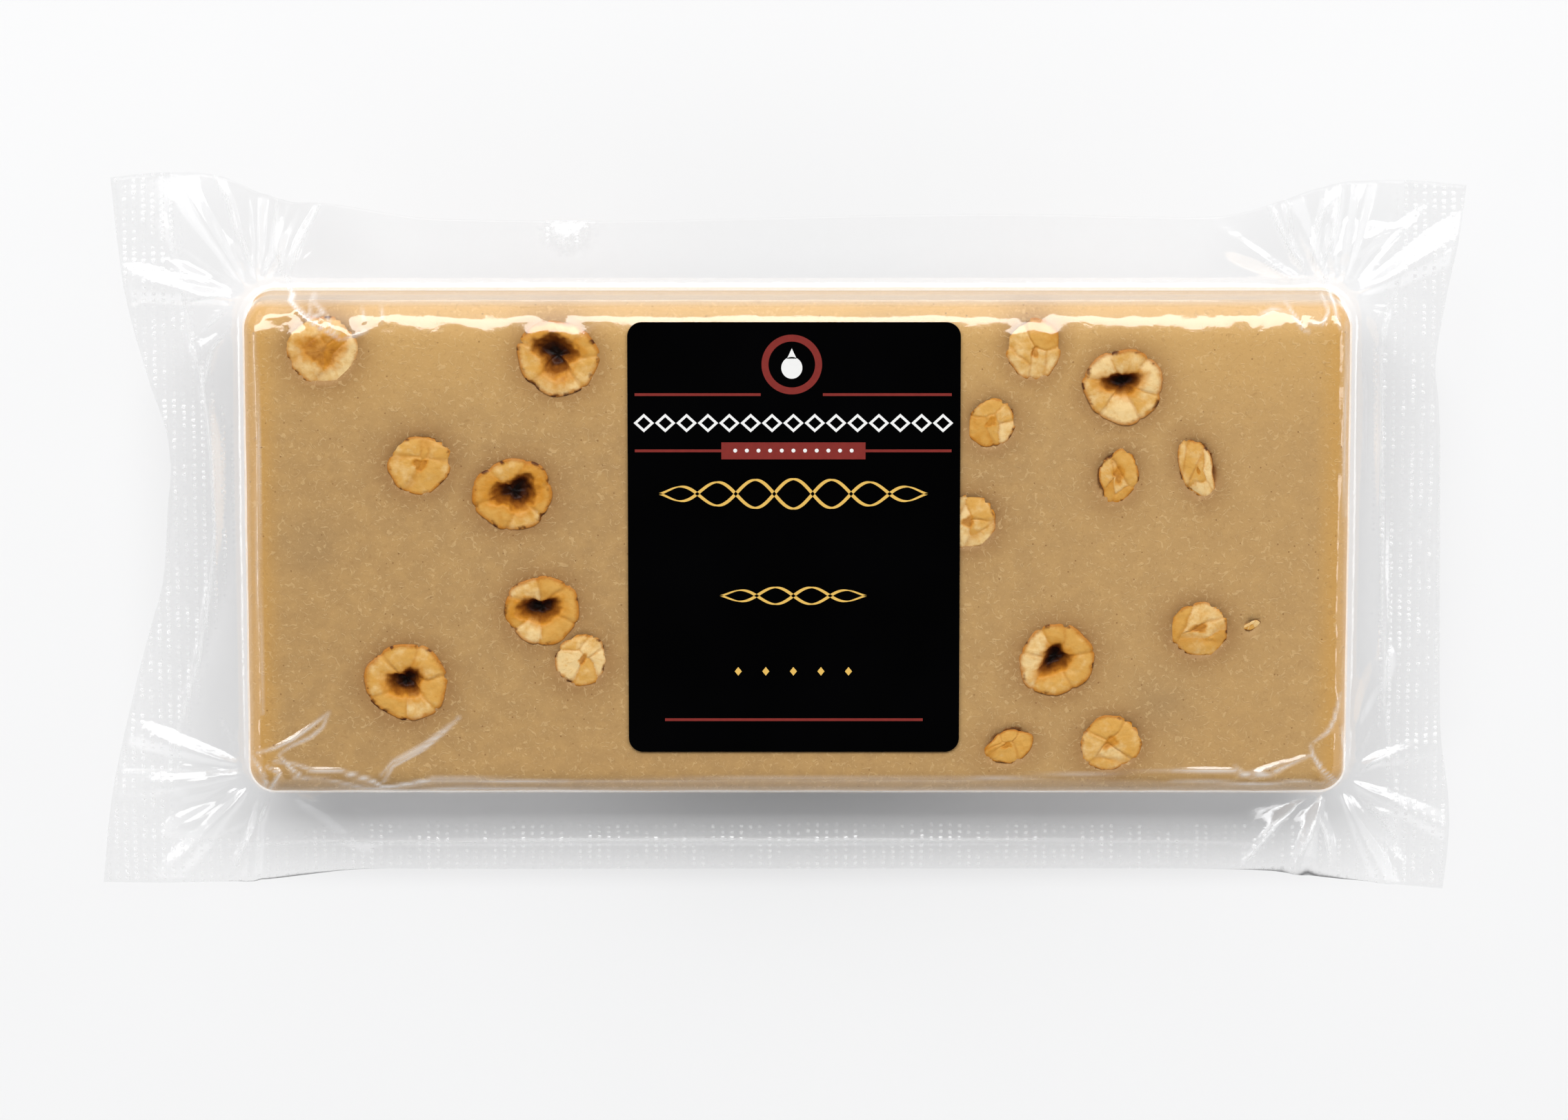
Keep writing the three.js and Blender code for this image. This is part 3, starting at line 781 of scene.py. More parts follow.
# %% [markdown]
# Finer forms come in two kinds. A puff is a patch of film with a crisp border that stands up like a small
# cushion, where air was trapped between folds. A crease is a line that the film was pinched along. Each
# row gives a height, how far from its border or line the film takes to come level again, how much a puff
# leans towards the upper edge, and its course over the film. A sharp crease also goes milky, so how far
# the film is folded there is worked out too, for its finish.

# %% Puffs and creases
SKIRT_PUFFS = [
    (1.5, 2, 0.26, [(-100.1, 45.5), (-103.8, 46), (-108.4, 47.2), (-111.9, 47.7), (-112.7, 51),
                    (-110.6, 52.1), (-108.3, 50.8), (-104.6, 49.4), (-101.3, 49.4), (-98.6, 47.5)]),
    (1, 1.6, 0.06, [(-113.2, 67.2), (-111.4, 63.2), (-109.4, 59.3), (-106.2, 54.6), (-102.1, 51), (-99, 48.5),
                    (-97.9, 48.7), (-99.5, 52.7), (-101.2, 55.3), (-104.5, 58), (-107.7, 63.7),
                    (-109.9, 66)]),
    (0.8, 1.4, 0.24, [(-110.4, 38.2), (-109.8, 35), (-108.6, 32.5), (-106.3, 35), (-103.9, 38.4),
                      (-106.8, 38.6)]),
    (1.8, 2.4, 0.2, [(95.2, 50.4), (98.8, 51), (102.5, 52.1), (106.6, 54.2), (109.5, 56.5), (110.7, 58.4),
                     (107.4, 58.5), (103.2, 58.5), (98.6, 59.3), (97.6, 56.9), (96.6, 53.6)]),
    (1, 1.6, 0.3, [(100.5, 44.3), (103.9, 44.7), (107.6, 43.9), (106.9, 40.1), (105.9, 35.6), (103.1, 39.7)]),
    (1.1, 1.4, 0.2, [(-102.1, -45.3), (-105, -44.9), (-109.2, -44.1), (-113.9, -45.3), (-114.7, -41.4),
                     (-111.7, -40.8), (-109.2, -40.8), (-105, -42.5), (-102.5, -44)]),
    (0.7, 1.6, 0, [(-100, -47.7), (-103.3, -45.6), (-108.8, -44.7), (-113.9, -45.6), (-114.8, -48.4),
                   (-110.6, -49.7), (-105.1, -49), (-100.8, -48.7)]),
    (1, 1.8, 0.22, [(-99.4, -48.8), (-103.4, -48.8), (-106.8, -49.3), (-110.2, -49.7), (-116.1, -51.2),
                    (-116.2, -56), (-108.6, -56.3), (-106.8, -54), (-103.4, -51.4)]),
    (1, 1.4, 0, [(-98.5, -49.2), (-101.7, -50.6), (-106.4, -53.2), (-107.7, -54.9), (-107.3, -56.3),
                 (-105.2, -55.8), (-101.8, -54.2), (-99.2, -51.4)]),
    (1.6, 1.8, 0.05, [(100.9, -46.9), (103.7, -46.6), (107.1, -48.4), (110.1, -50.6), (111, -53.2),
                      (111, -56.6), (109.8, -57.5), (107.2, -56.6), (103.8, -53.2), (100.5, -48.8)]),
    (0.8, 1.4, 0.24, [(101.1, -46.2), (104.5, -44.5), (107.8, -44.5), (109.4, -47.1), (110.9, -50.6),
                      (107.1, -47.9), (103.7, -46.2)]),
    (0.5, 2.6, 0.12, [(-47.5, 60), (-46, 54.5), (-41.5, 51), (-37.5, 54), (-35.5, 60)]),
]
PUFF_LEAN = 1.4
SKIRT_CREASES = [
    (1, 1.5, [(-105.1, 67), (-102.7, 62.4), (-101.6, 57.4), (-100.1, 54.4), (-99.1, 51.5), (-97.7, 48.3)]),
    (0.9, 1.3, [(-94.2, 62.4), (-94.3, 53.6), (-93.5, 50.6), (-92.6, 47.7)]),
    (0.8, 1.1, [(-86.5, 61.4), (-88.7, 57.4), (-90.4, 54), (-91.5, 50.6), (-92.2, 47.7)]),
    (0.6, 1, [(-95.3, 51.7), (-96.7, 49.4), (-98.8, 46.6)]),
    (0.7, 1.4, [(-101.1, 45.4), (-103.9, 42.2), (-107.7, 38.6)]),
    (0.7, 1.5, [(-101.4, 42.6), (-103.1, 39.2), (-106.3, 35), (-108, 28)]),
    (0.5, 1.4, [(-101.3, 45.8), (-105.5, 45.4), (-110.9, 44.1)]),
    (0.5, 1.6, [(-113.5, 67), (-113.6, 59), (-112.8, 55.3), (-111.9, 49.4), (-110.9, 44.3), (-109.8, 35.8),
                (-108.2, 30.3), (-106.6, 16), (-106.2, 2), (-107.4, -10), (-109.7, -22.9), (-112.4, -31.5),
                (-114.4, -40.1), (-116, -44.5), (-116.5, -51), (-116.6, -56.2)]),
    (0.5, 1.6, [(110.7, 58.4), (110, 52.7), (108.6, 46), (107.2, 43.5), (105.9, 35.8), (106.2, 28.6),
                (106.6, 6), (107.5, -22.9), (107.6, -30.2), (108.5, -35.8), (109.1, -42.3), (110.4, -47.1),
                (111.5, -50.6)]),
    (0.9, 1.2, [(98.3, 65.3), (97, 56.9), (95.8, 52.7), (94.6, 50.2)]),
    (0.7, 1, [(97.7, 64.1), (95.3, 61.1), (94.1, 57.4), (93.1, 52.7), (93.7, 49.8)]),
    (0.7, 1, [(88.4, 62.6), (89.6, 54), (92.8, 47.3)]),
    (0.8, 1.2, [(85.3, 61.6), (87.4, 57.4), (89.5, 53.4), (91.3, 50.2)]),
    (0.6, 1, [(84.2, 51.7), (86.7, 49.8), (89.7, 47.7), (92.6, 47.5)]),
    (0.5, 1.3, [(95.5, 50), (98.4, 49.4), (102.2, 46)]),
    (0.5, 1.4, [(100.6, 42.6), (101.9, 37.5), (103.3, 28.6), (103.4, 12)]),
    (0.5, 1.3, [(-116.6, -56.2), (-109.8, -56.6), (-103.9, -57.3), (-96.7, -57.5), (-86.6, -57.1),
                (-40, -56.6), (40, -56.6), (84, -57)]),
    (0.8, 1, [(-97.3, -49), (-98.4, -51.9), (-99.2, -53.2)]),
    (0.7, 1.3, [(-104, -63.4), (-102.9, -59.7), (-100.3, -54.2)]),
    (0.5, 1.4, [(-102.2, -43.6), (-103.2, -38.4), (-105.7, -33.7)]),
    (0.7, 0.9, [(103.7, -48.4), (107.1, -51.9), (108.9, -54.5), (110.6, -57.1)]),
    (0.5, 0.8, [(106.7, -51), (109.9, -51.3)]),
    (0.5, 1.1, [(101.9, -43.2), (103.5, -39.7), (105.6, -34.9)]),
    (0.7, 1.1, [(102.8, -44.7), (105.3, -41.9), (108.6, -40.1)]),
    (1, 1.6, [(95.5, -51.2), (94.1, -54.9), (92.3, -58.8)]),
    (0.8, 1.3, [(95.7, -51.2), (97.2, -54.9), (97.9, -59.3)]),
    (0.8, 1.2, [(95.4, -48.3), (91.9, -49.7), (88.5, -52.7), (85.2, -56.6), (82.7, -60.1)]),
]
FACE_PUFFS = [
    (0.5, 0.9, 0, [(-93.3, -35.4), (-90.6, -34), (-88, -32.5), (-85.3, -30.1), (-86.6, -33.4), (-88.5, -34.9),
                   (-91.9, -36.2)]),
    (0.5, 1.1, 0, [(-100.5, -41.5), (-98.2, -44.3), (-96.6, -45.4), (-92.8, -41.7), (-94.8, -39.1),
                   (-95.2, -36.6), (-98.4, -38.1)]),
    (0.45, 0.8, 0, [(-94.8, -38.1), (-91.9, -40.2), (-89.4, -42.2), (-92.8, -40.9)]),
    (0.45, 0.8, 0, [(-89.4, -41.7), (-87.7, -40.6), (-82.3, -41.5), (-77.3, -42.7), (-75.2, -44.3),
                    (-80.7, -43.2), (-85.2, -42.4)]),
    (0.5, 0.9, 0.05, [(81.5, -43.1), (83.4, -40.6), (88.4, -38.4), (92.1, -37.4), (94.2, -38.7),
                      (89.7, -39.6), (85.1, -41.6)]),
    (0.5, 1.1, 0, [(94.2, -36.6), (95.2, -34), (97.5, -29.7), (98.7, -26.7), (100.4, -31.4), (100.3, -37.4),
                   (97.6, -41.7), (94.7, -38.7)]),
    (0.5, 0.9, 0.06, [(-86.8, 45.4), (-87.1, 42.5), (-81.5, 38.7), (-79.5, 39.8), (-80.7, 42.1),
                      (-84, 43.7)]),
    (0.5, 1, 0.06, [(-96.3, 45.4), (-93.8, 47.9), (-92.2, 46.2), (-90.7, 45.2), (-86.8, 46.2), (-90.6, 42.9),
                    (-93.9, 42.1), (-96.4, 42.5)]),
    (0.4, 0.8, 0.05, [(86.9, 42.5), (89.3, 43.7), (91, 41.2), (91, 40.2), (88.9, 40.4)]),
    (0.4, 0.8, 0, [(92.4, 41.4), (93.5, 43.3), (95.9, 44.6), (96.4, 42.1), (95.2, 40.2), (93.1, 40.6)]),
]
FACE_CREASES = [
    (0.6, 0.7, [(-95.1, -38.8), (-91.6, -39.3), (-88.5, -40.4), (-82.8, -40.7), (-77.2, -42.6),
                (-75.4, -43.9), (-73.1, -43.6), (-66.6, -42.3), (-59.1, -42.3), (-51.6, -42.5),
                (-42, -42.7)]),
    (0.4, 0.6, [(-91.6, -42.1), (-85.3, -42.3), (-79.1, -44.1), (-71.6, -44.9), (-61.6, -44.1),
                (-42, -44.4)]),
    (0.5, 0.7, [(-75.4, -42.8), (-73.5, -39.7), (-67.9, -36.5), (-64.1, -33.3), (-61.5, -30.7)]),
    (0.4, 0.6, [(-75.9, -41.6), (-73.5, -38.8), (-67.9, -35.7), (-62.6, -31.6)]),
    (0.5, 0.7, [(-98.2, -37.4), (-94.7, -36.2), (-91.6, -34.6), (-88.5, -32.4), (-85.1, -29.8)]),
    (0.4, 0.6, [(-85.1, -29.8), (-86.2, -32.4), (-88.5, -34.3), (-91.8, -35.8), (-94.1, -37.4)]),
    (0.5, 0.7, [(-99.1, -38.4), (-97.6, -40.3), (-96.6, -42.8), (-97.6, -44.7)]),
    (0.5, 0.7, [(-96.6, -39.7), (-94.1, -40.9), (-95.6, -43.6), (-96.8, -45.8)]),
    (0.5, 0.7, [(-94.3, -37.7), (-92.2, -40), (-90.1, -41.8), (-88.5, -42.1)]),
    (0.8, 0.8, [(-94.7, 50.3), (-92.6, 48.4), (-91.6, 45.8), (-87.8, 42.6), (-84.7, 40.7), (-82.2, 39.1)]),
    (0.4, 0.6, [(-82.2, 39.1), (-79.7, 39.7), (-77.2, 40.5)]),
    (0.4, 0.6, [(-84.7, 43.6), (-84.1, 42), (-82.6, 39.4)]),
    (0.4, 0.6, [(-87.6, 45.7), (-87.7, 42.8), (-85.1, 43.8), (-87.6, 45.7)]),
    (0.3, 0.5, [(-78.4, 44.5), (-78, 43.3), (-77.7, 41.7)]),
    (0.3, 0.5, [(-74.9, 44.7), (-74.6, 43.3), (-74.6, 42)]),
    (0.6, 0.7, [(68.2, -40.5), (74, -40.5), (79.6, -40.7), (82.8, -41.6), (86.5, -40.9), (91.5, -38.4),
                (93.4, -37.7)]),
    (0.4, 0.6, [(68.2, -42.6), (76.5, -42.8), (84, -43.3), (91.5, -42.6), (97.1, -43.3)]),
    (0.6, 0.7, [(93.4, -35.8), (93.8, -37.7), (95.5, -40.5), (97.7, -42.6), (99.4, -43.2)]),
    (0.5, 0.7, [(94, -35.2), (96.5, -33.3), (97.7, -30.7), (98.6, -26.5)]),
    (0.5, 0.7, [(99.4, -41.6), (99.7, -37.7), (99, -32.6)]),
    (0.4, 0.6, [(79.6, -39.7), (81.5, -41.2), (84, -40.5), (89, -38.8)]),
    (0.5, 0.7, [(88, 45.2), (89.5, 43), (91.1, 40.7), (92, 40.3)]),
    (0.5, 0.7, [(92, 42), (94.3, 41.7), (95.5, 43.9), (94.9, 45.6)]),
    (0.5, 0.7, [(94.9, 49.6), (96.5, 45.8), (97, 43), (98, 40.5)]),
    (0.4, 0.6, [(83, 43.3), (85.5, 44.3), (88, 43.8)]),
    (0.35, 0.6, [(98.7, 42), (99, 33.1), (98.6, 21.6), (99, 6.3)]),
    (0.3, 0.9, [(-42, -42.6), (-10, -42.2), (30, -42.3), (68.2, -40.5)]),
    (0.35, 0.8, [(-97.6, 40), (-97.2, 20), (-97.5, -4), (-97.1, -30)]),
]


def beside_line(x, y, points):
    """How far a place is from a line through points, and how far along the line it is, from 0 to 1."""
    points = np.array(points, float)
    lengths = np.hypot(*(points[1:] - points[:-1]).T)
    done = np.concatenate([[0], np.cumsum(lengths)])
    nearest, along = np.full(len(x), 1e9), np.zeros(len(x))
    for (ax, ay), (bx, by), length, start in zip(points, points[1:], lengths, done):
        t = np.clip(((x - ax) * (bx - ax) + (y - ay) * (by - ay)) / length ** 2, 0, 1)
        away = np.hypot(x - ax - t * (bx - ax), y - ay - t * (by - ay))
        closer = away < nearest
        nearest = np.where(closer, away, nearest)
        along = np.where(closer, (start + t * length) / done[-1], along)
    return nearest, along


def within(x, y, outline):
    """Whether a place is inside a closed outline: a line from it crosses that an odd number of times."""
    inside = np.zeros(len(x), bool)
    for (ax, ay), (bx, by) in zip(outline, outline[1:] + outline[:1]):
        if ay != by:
            inside ^= ((ay > y) != (by > y)) & (x < ax + (y - ay) / (by - ay) * (bx - ax))
    return inside


def puffs(x, y, rows):
    """How far the film stands up in the puffs."""
    z = np.zeros(len(x))
    for height, soft, lean, outline in rows:
        inside = within(x, y, outline)
        away, _ = beside_line(x, y, outline + outline[:1])
        middle = sum(row[1] for row in outline) / len(outline)
        level = 1 - np.exp(-away / soft)
        z = z + inside * level * (height - PUFF_LEAN * lean * (y - middle))
    return z


def pinches(x, y, rows):
    """How far the film is pinched up, and how sharply it is folded, which whitens it."""
    z, fold = np.zeros(len(x)), np.zeros(len(x))
    for height, half_width, line in rows:
        away, along = beside_line(x, y, line)
        tapered = np.sin(math.pi * np.clip(along, 0.06, 0.94)) ** 0.5
        z = np.maximum(z, height * tapered * np.maximum(0, 1 - away / half_width))
        fold = np.maximum(fold, min(1, 1.5 * height) * tapered * np.exp(-(away / 0.3) ** 2))
    return z, fold


def over_nuts(x, y):
    """How far the film stands off the slab's face over the nuts. It sinks into a hollow."""
    z = np.zeros(len(x))
    for nut in face_nuts:
        share = nut_share(nut, x, y)
        size = min(1, (nut["long"] + nut["wide"]) / 24)
        rise = 1 - smooth(0.7, 1.12, share)
        if nut["kind"] == "ring":
            rise = rise - 0.2 * (1 - smooth(0, 0.4, share))
        z = z + (NUT_CREST + 0.05) * size * rise
    beside_x = np.minimum(x - label_low.x, label_high.x - x)
    beside_y = np.minimum(y - label_low.y, label_high.y - y)
    beside_label = np.minimum(beside_x, beside_y)
    return z * (1 - smooth(-1, 0.5, beside_label))


print("puffs:", len(SKIRT_PUFFS + FACE_PUFFS), "creases:", len(SKIRT_CREASES + FACE_CREASES))

# %% [markdown]
# The film is one closed bag. Most of its cells go where the folds are: the lines are close together near
# the slab's ends and over the skirt, and wide apart under the label, where nothing shows. The back sheet
# has half as many. The front sheet's lower edge has crept back from the back sheet's in two places. On
# the slab's wall the film stands off a little, in soft wrinkles.

# %% The pouch
SKIRT_RINGS = 32
FILM_GAP = 0.14
RIM_SHARE = 0.998
LOOSE_FILM = 0.22
COLUMN_COUNTS = (0, 52, 104, 124, 176, 228)
ROW_COUNTS = (0, 34, 94, 128)
CLOSE_X, CLOSE_Y = 73, 25
CREPT_BACK = [(92.5, 7, 3.4), (-92, 8, 1.4)]
LOWER_EDGE = -55

film_reach, film_drop = edge_stations(0, 2, 9, (8, 6.6, 5.2, 3.9, FOOT_REACH))
foot = np.array([[0.06, 0.62], [0.22, 0.36], [0.5, 0.17], [1, FILM_GAP / 2 / FOOT_REACH]]) * FOOT_REACH
film_reach = np.concatenate([film_reach, SLAB["plan_corner"] + foot[:, 0]])
film_drop = np.concatenate([film_drop, SLAB["height"] - SEAM_HEIGHT - foot[:, 1]])
foot_ring = len(film_reach) - 1
all_rings = foot_ring + SKIRT_RINGS
column_places = (-half_x, -CLOSE_X, label_low.x, label_high.x, CLOSE_X, half_x)
row_places = (-half_y, -CLOSE_Y, CLOSE_Y, half_y)


def lay_sheet(unit, coarser):
    """The plan of one sheet, and on which ring each point is, counted in the front sheet's rings."""
    lines_x = [count // coarser for count in COLUMN_COUNTS], column_places
    lines_y = [count // coarser for count in ROW_COUNTS], row_places
    laid = Rings(unit, all_rings // coarser, lines_x, lines_y)
    ring = laid.ring * coarser
    start_x, start_y = laid.reached(film_reach[np.minimum(ring, foot_ring)])
    end_x, end_y = laid.rim()
    if coarser == 1:
        for place, spread, amount in CREPT_BACK:
            end_y = end_y + np.where(end_y < LOWER_EDGE, amount * np.exp(-((end_x - place) / spread) ** 2), 0)
    share = np.interp(ring - foot_ring, (0, SKIRT_RINGS - 2, SKIRT_RINGS), (0, RIM_SHARE, 1))
    return start_x + (end_x - start_x) * share, start_y + (end_y - start_y) * share, ring


grid = [COLUMN_COUNTS[-1] + 2 * all_rings, ROW_COUNTS[-1] + 2 * all_rings]
film_data = two_sided_sheet(grid, [cells // 2 for cells in grid])
unit = mesh_points(film_data)
front = unit[:, 2] > 0
x, y, ring = np.empty(len(unit)), np.empty(len(unit)), np.empty(len(unit), int)
for this_side, coarser in ((front, 1), (~front, 2)):
    x[this_side], y[this_side], ring[this_side] = lay_sheet(unit[this_side], coarser)

on_skirt = ring > foot_ring
drop = film_drop[np.minimum(ring, foot_ring)]
on_wall = front * smooth(1.5, 4, drop) * (1 - smooth(9, 10, drop))
stands_off = LOOSE_FILM * on_wall * np.abs(ripple(x * 0.12 + drop * 0.5, y * 0.12 + drop, 1.4, 21))
x = x + stands_off * np.sign(x) * (np.abs(x) > SLAB["half_length"] - 1)
y = y + stands_off * np.sign(y) * (np.abs(y) > SLAB["half_width"] - 1)
side_of = np.where(front, 1, -1)
leaving = smooth(0.5, 3 * FOOT_REACH, outside(x, y))
skirt_pinch, skirt_fold = pinches(x, y, SKIRT_CREASES)
face_pinch, face_fold = pinches(x, y, FACE_CREASES)
folded = skirt_height(x, y) + skirt_pinch * leaving
puffed = puffs(x, y, SKIRT_PUFFS) * leaving
half_gap = FILM_GAP / 2 * (1 - 0.85 * smooth(0.85, 1, (ring - foot_ring) / SKIRT_RINGS))
skirt_z = folded + side_of * half_gap + np.where(front, puffed, -0.3 * puffed) * (half_gap * 2 / FILM_GAP)
on_face = np.clip(1 - drop / 5, 0, 1)
near_edge = smooth(-6, -2, np.maximum(np.abs(x) - SLAB["half_length"], np.abs(y) - SLAB["half_width"]))
near_top = smooth(-8, -5, y - SLAB["half_width"])
restless = (0.16 + 0.16 * near_top) * ripple(x * 0.6, y, 3.2, 5) * near_edge
restless = restless + 0.1 * near_top * ripple(x, y, 1.3, 9)
rise = over_nuts(x, y) + puffs(x, y, FACE_PUFFS) + face_pinch + restless
fall = edge_fall(x, y) * np.maximum(0, 1 - drop / SEAM_HEIGHT)
wrapped = np.where(front, SLAB["height"] - drop - fall + rise * on_face, drop)
z = np.where(on_skirt, skirt_z, wrapped)
z = np.clip(z, 0.01, cad_box[1].z / MM - 0.01)
set_points(film_data, np.column_stack([x, y, z]))

print("film lies from", round(z.min(), 2), "to", round(z.max(), 2), "mm")

# %% [markdown]
# The film's finish has to know which place it is on. Numbers on the points say it: where the two ends and
# the lower side are welded, a round spot where the welding bar pressed again, how sharply the film is
# folded, how near it is to a corner's fan, to the cut edge and to the slab's upper side, and which way the
# fan's folds run.

# %% What the film's finish reads
SEAL_SPOT = (-41.5, 57)
ring_share = (ring - foot_ring) / SKIRT_RINGS
from_ends = np.minimum(x - cut_edge["left"](y), cut_edge["right"](y) - x)
from_low = y - cut_edge["lower"](x)
seal = np.maximum(1 - smooth(10.5, 12.5, from_ends), 0.7 * (1 - smooth(8, 9.5, from_low))) * on_skirt
spot = 1 - smooth(3.5, 5, np.hypot(x - SEAL_SPOT[0], y - SEAL_SPOT[1]))
seal = np.maximum(seal, spot * on_skirt)
fan, spoke = np.zeros(len(x)), np.zeros(len(x))
for side_x, side_y, _ in FANS:
    away, angle = from_corner(x, y, side_x, side_y)
    nearest = (np.sign(x) == side_x) & (np.sign(y) == side_y)
    fan = np.where(nearest, smooth(3, 7, away) * (1 - smooth(14, 30, away)) * leaving, fan)
    spoke = np.where(nearest, angle * side_x * side_y, spoke)
keep(film_data, "seal", seal)
keep(film_data, "fold", np.where(front, np.maximum(skirt_fold * leaving, face_fold), 0))
keep(film_data, "fan", fan)
from_spot = np.hypot(x - SEAL_SPOT[0], y - SEAL_SPOT[1] - 1)
keep(film_data, "spot", np.exp(-(from_spot / 3.2) ** 2) * on_skirt * front)
keep(film_data, "rim", smooth(0.86, 0.93, ring_share))
by_slab = np.where(on_skirt, 1 - smooth(0.8, 3, outside(x, y)), front * smooth(1.5, 4, drop))
keep(film_data, "upper_wall", by_slab * smooth(-1.5, 0, y - SLAB["half_width"]))
keep(film_data, "spoke", spoke)
film = add_piece("pouch_film", film_data)
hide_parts("vacuum_pack")

# %% [markdown]
# The film is never quite smooth. It is crumpled all over, long rays run out from the corners, and the
# welding bar has pressed rows of small dots into the welds. These are too fine for the mesh, so they are
# bumps, made of noise and of two crossed waves.

# %% Film bumps
clear = new_finish("clear_film")
where = place_on(clear)
split = put(clear, "SeparateXYZ", {"Vector": where})
split_y = split.node.outputs["Y"]
seal_share, fan_share = kept(clear, "seal"), kept(clear, "fan")
crumple = times(clear, grain(clear, where, 0.2, detail=5, rough=0.55, distortion=0.5), 0.5)
spread = put(clear, "CombineXYZ", {"X": times(clear, kept(clear, "spoke"), 0.16),
                                   "Y": times(clear, split, 0.05), "Z": 0})
rays = put(clear, "TexNoise", {"Vector": spread, "Scale": 0.8, "Detail": 2, "Roughness": 0.5})
rays = times(clear, rays, times(clear, fan_share, 1.1))
wavering = plus(clear, times(clear, split, 3.6), times(clear, crumple, 3))
ribs = band(clear, maths(clear, "SINE", wavering), 0, 0.9)
ticking = plus(clear, times(clear, split_y, 5.2), times(clear, crumple, 22))
ticks = band(clear, maths(clear, "SINE", ticking), -0.6, 0.9)
struck = band(clear, grain(clear, where, 0.3, detail=4), 0.38, 0.62, 0.1, 1)
dots = times(clear, times(clear, ribs, ticks), times(clear, seal_share, struck))
embossed = times(clear, dots, 0.32)
heights = plus(clear, plus(clear, crumple, rays), embossed)
bent = relief(clear, heights, 0.25, 0.8)
print("bumps:", len(clear.node_tree.nodes), "nodes")

# %% [markdown]
# Clear film lets nearly all light through and mirrors some on top, more of it at a glancing angle. So its
# finish adds a glossy shader, by Fresnel's law, to a clear one. A sheet mirrors the same share of light on
# either face, so the index is turned over on its inner face. Folds, welds and dots are slightly milky,
# which a little matt white gives. Three places mirror less than the law says: the cut edge, which would
# draw a hard white outline, the corner fans and the slab's upper side. Real film is so thin and clear
# that it throws no shadow worth seeing, so the film throws none.

# %% Film finish
FILM_IOR = 1.9

inner_face = put(clear, "NewGeometry", {}, "Backfacing")
either_way = band(clear, inner_face, 0, 1, FILM_IOR, 1 / FILM_IOR)
mirror_share = put(clear, "Fresnel", {"IOR": either_way})
worked = maths(clear, "MAXIMUM", seal_share, fan_share)
milky = blend(clear, worked, tone(253, 253, 253), tone(250, 250, 250))
through = blend(clear, band(clear, mirror_share, 0.12, 1, 0, 0.8), milky, tone(40, 40, 40))
see_through = put(clear, "BsdfTransparent", {"Color": through})
whitened = times(clear, kept(clear, "fold"), 0.7)
whitened = plus(clear, whitened, times(clear, kept(clear, "upper_wall"), 0.1))
dabs = band(clear, grain(clear, where, 0.8, detail=2), 0.4, 0.6, 0.25, 1)
whitened = plus(clear, whitened, times(clear, kept(clear, "spot"), dabs))
whitened = plus(clear, whitened, times(clear, dots, 0.36))
haze = put(clear, "BsdfDiffuse", {"Color": (0.9, 0.9, 0.9, 1), "Roughness": 0.5})
see_through = put(clear, "MixShader", {0: whitened, 1: see_through, 2: haze})
shown = band(clear, kept(clear, "rim"), 0, 1, 1, 0.08)
shown = times(clear, shown, band(clear, fan_share, 0, 1, 1, 0.5))
shown = times(clear, shown, band(clear, kept(clear, "upper_wall"), 0, 1, 1, 0.45))
mirrored = blend(clear, times(clear, mirror_share, shown), (0, 0, 0, 1), (1, 1, 1, 1))
gloss = put(clear, "BsdfGlossy", {"Color": mirrored, "Roughness": 0.09, "Normal": bent})
close_finish(clear, put(clear, "AddShader", {0: see_through, 1: gloss}))
film_data.materials.append(clear)
film.visible_shadow = False
film.visible_diffuse = False
print("film finish:", len(clear.node_tree.nodes), "nodes")

# %% [markdown]
# The label is a rectangle of black stock, stuck on the film. Its solid already has the right size, so it
# stays, with a semi-gloss finish whose sheen varies a little, as it follows the film under it.

# %% Label finish
stock = new_finish("black_label")
where = place_on(stock)
ink = blend(stock, grain(stock, where, 0.05, detail=3), tone(1, 1, 1), tone(5, 5, 6))
stock_shader = put(stock, "BsdfPrincipled", {
    "Base Color": ink, "Roughness": 0.3, "Specular IOR Level": 0.03,
    "Normal": relief(stock, grain(stock, where, 0.03, detail=2), 0.6, 0.5)})
close_finish(stock, stock_shader)
label_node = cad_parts["label"]
label_node.data.materials.clear()
label_node.data.materials.append(stock)
print("label:", [round(c, 1) for c in (label_high - label_low)], "mm")

# %% [markdown]
# The label's print is three thin films of ink, one piece for each colour, lying on the stock. It carries
# plain ornament only: a ring with a kernel, rules, a chain of lozenges, a band with dots, and a braid.

# %% Label print
INK = 0.02
print_level = label_high.z


def bar(ink_mesh, x0, x1, middle, width):
    place = Matrix.Translation(((x0 + x1) / 2, middle, print_level + INK / 2))
    bmesh.ops.create_cube(ink_mesh, size=1, matrix=place @ Matrix.Diagonal((x1 - x0, width, INK, 1)))


def band_between(ink_mesh, sides, outer, inner, centre, stretch=(1, 1)):
    """A flat ring with straight sides, such as a round ring or a hollow lozenge."""
    place = Matrix.Translation((*centre, print_level)) @ Matrix.Diagonal((*stretch, 1, 1))
    made = []
    for radius in (outer, inner):
        made += bmesh.ops.create_circle(ink_mesh, segments=sides, radius=radius, matrix=place)["verts"]
    rim = {edge for vert in made for edge in vert.link_edges}
    flat = bmesh.ops.bridge_loops(ink_mesh, edges=list(rim))["faces"]
    raised = bmesh.ops.extrude_face_region(ink_mesh, geom=flat)["geom"]
    lifted = [part for part in raised if isinstance(part, bmesh.types.BMVert)]
    bmesh.ops.translate(ink_mesh, verts=lifted, vec=(0, 0, INK))


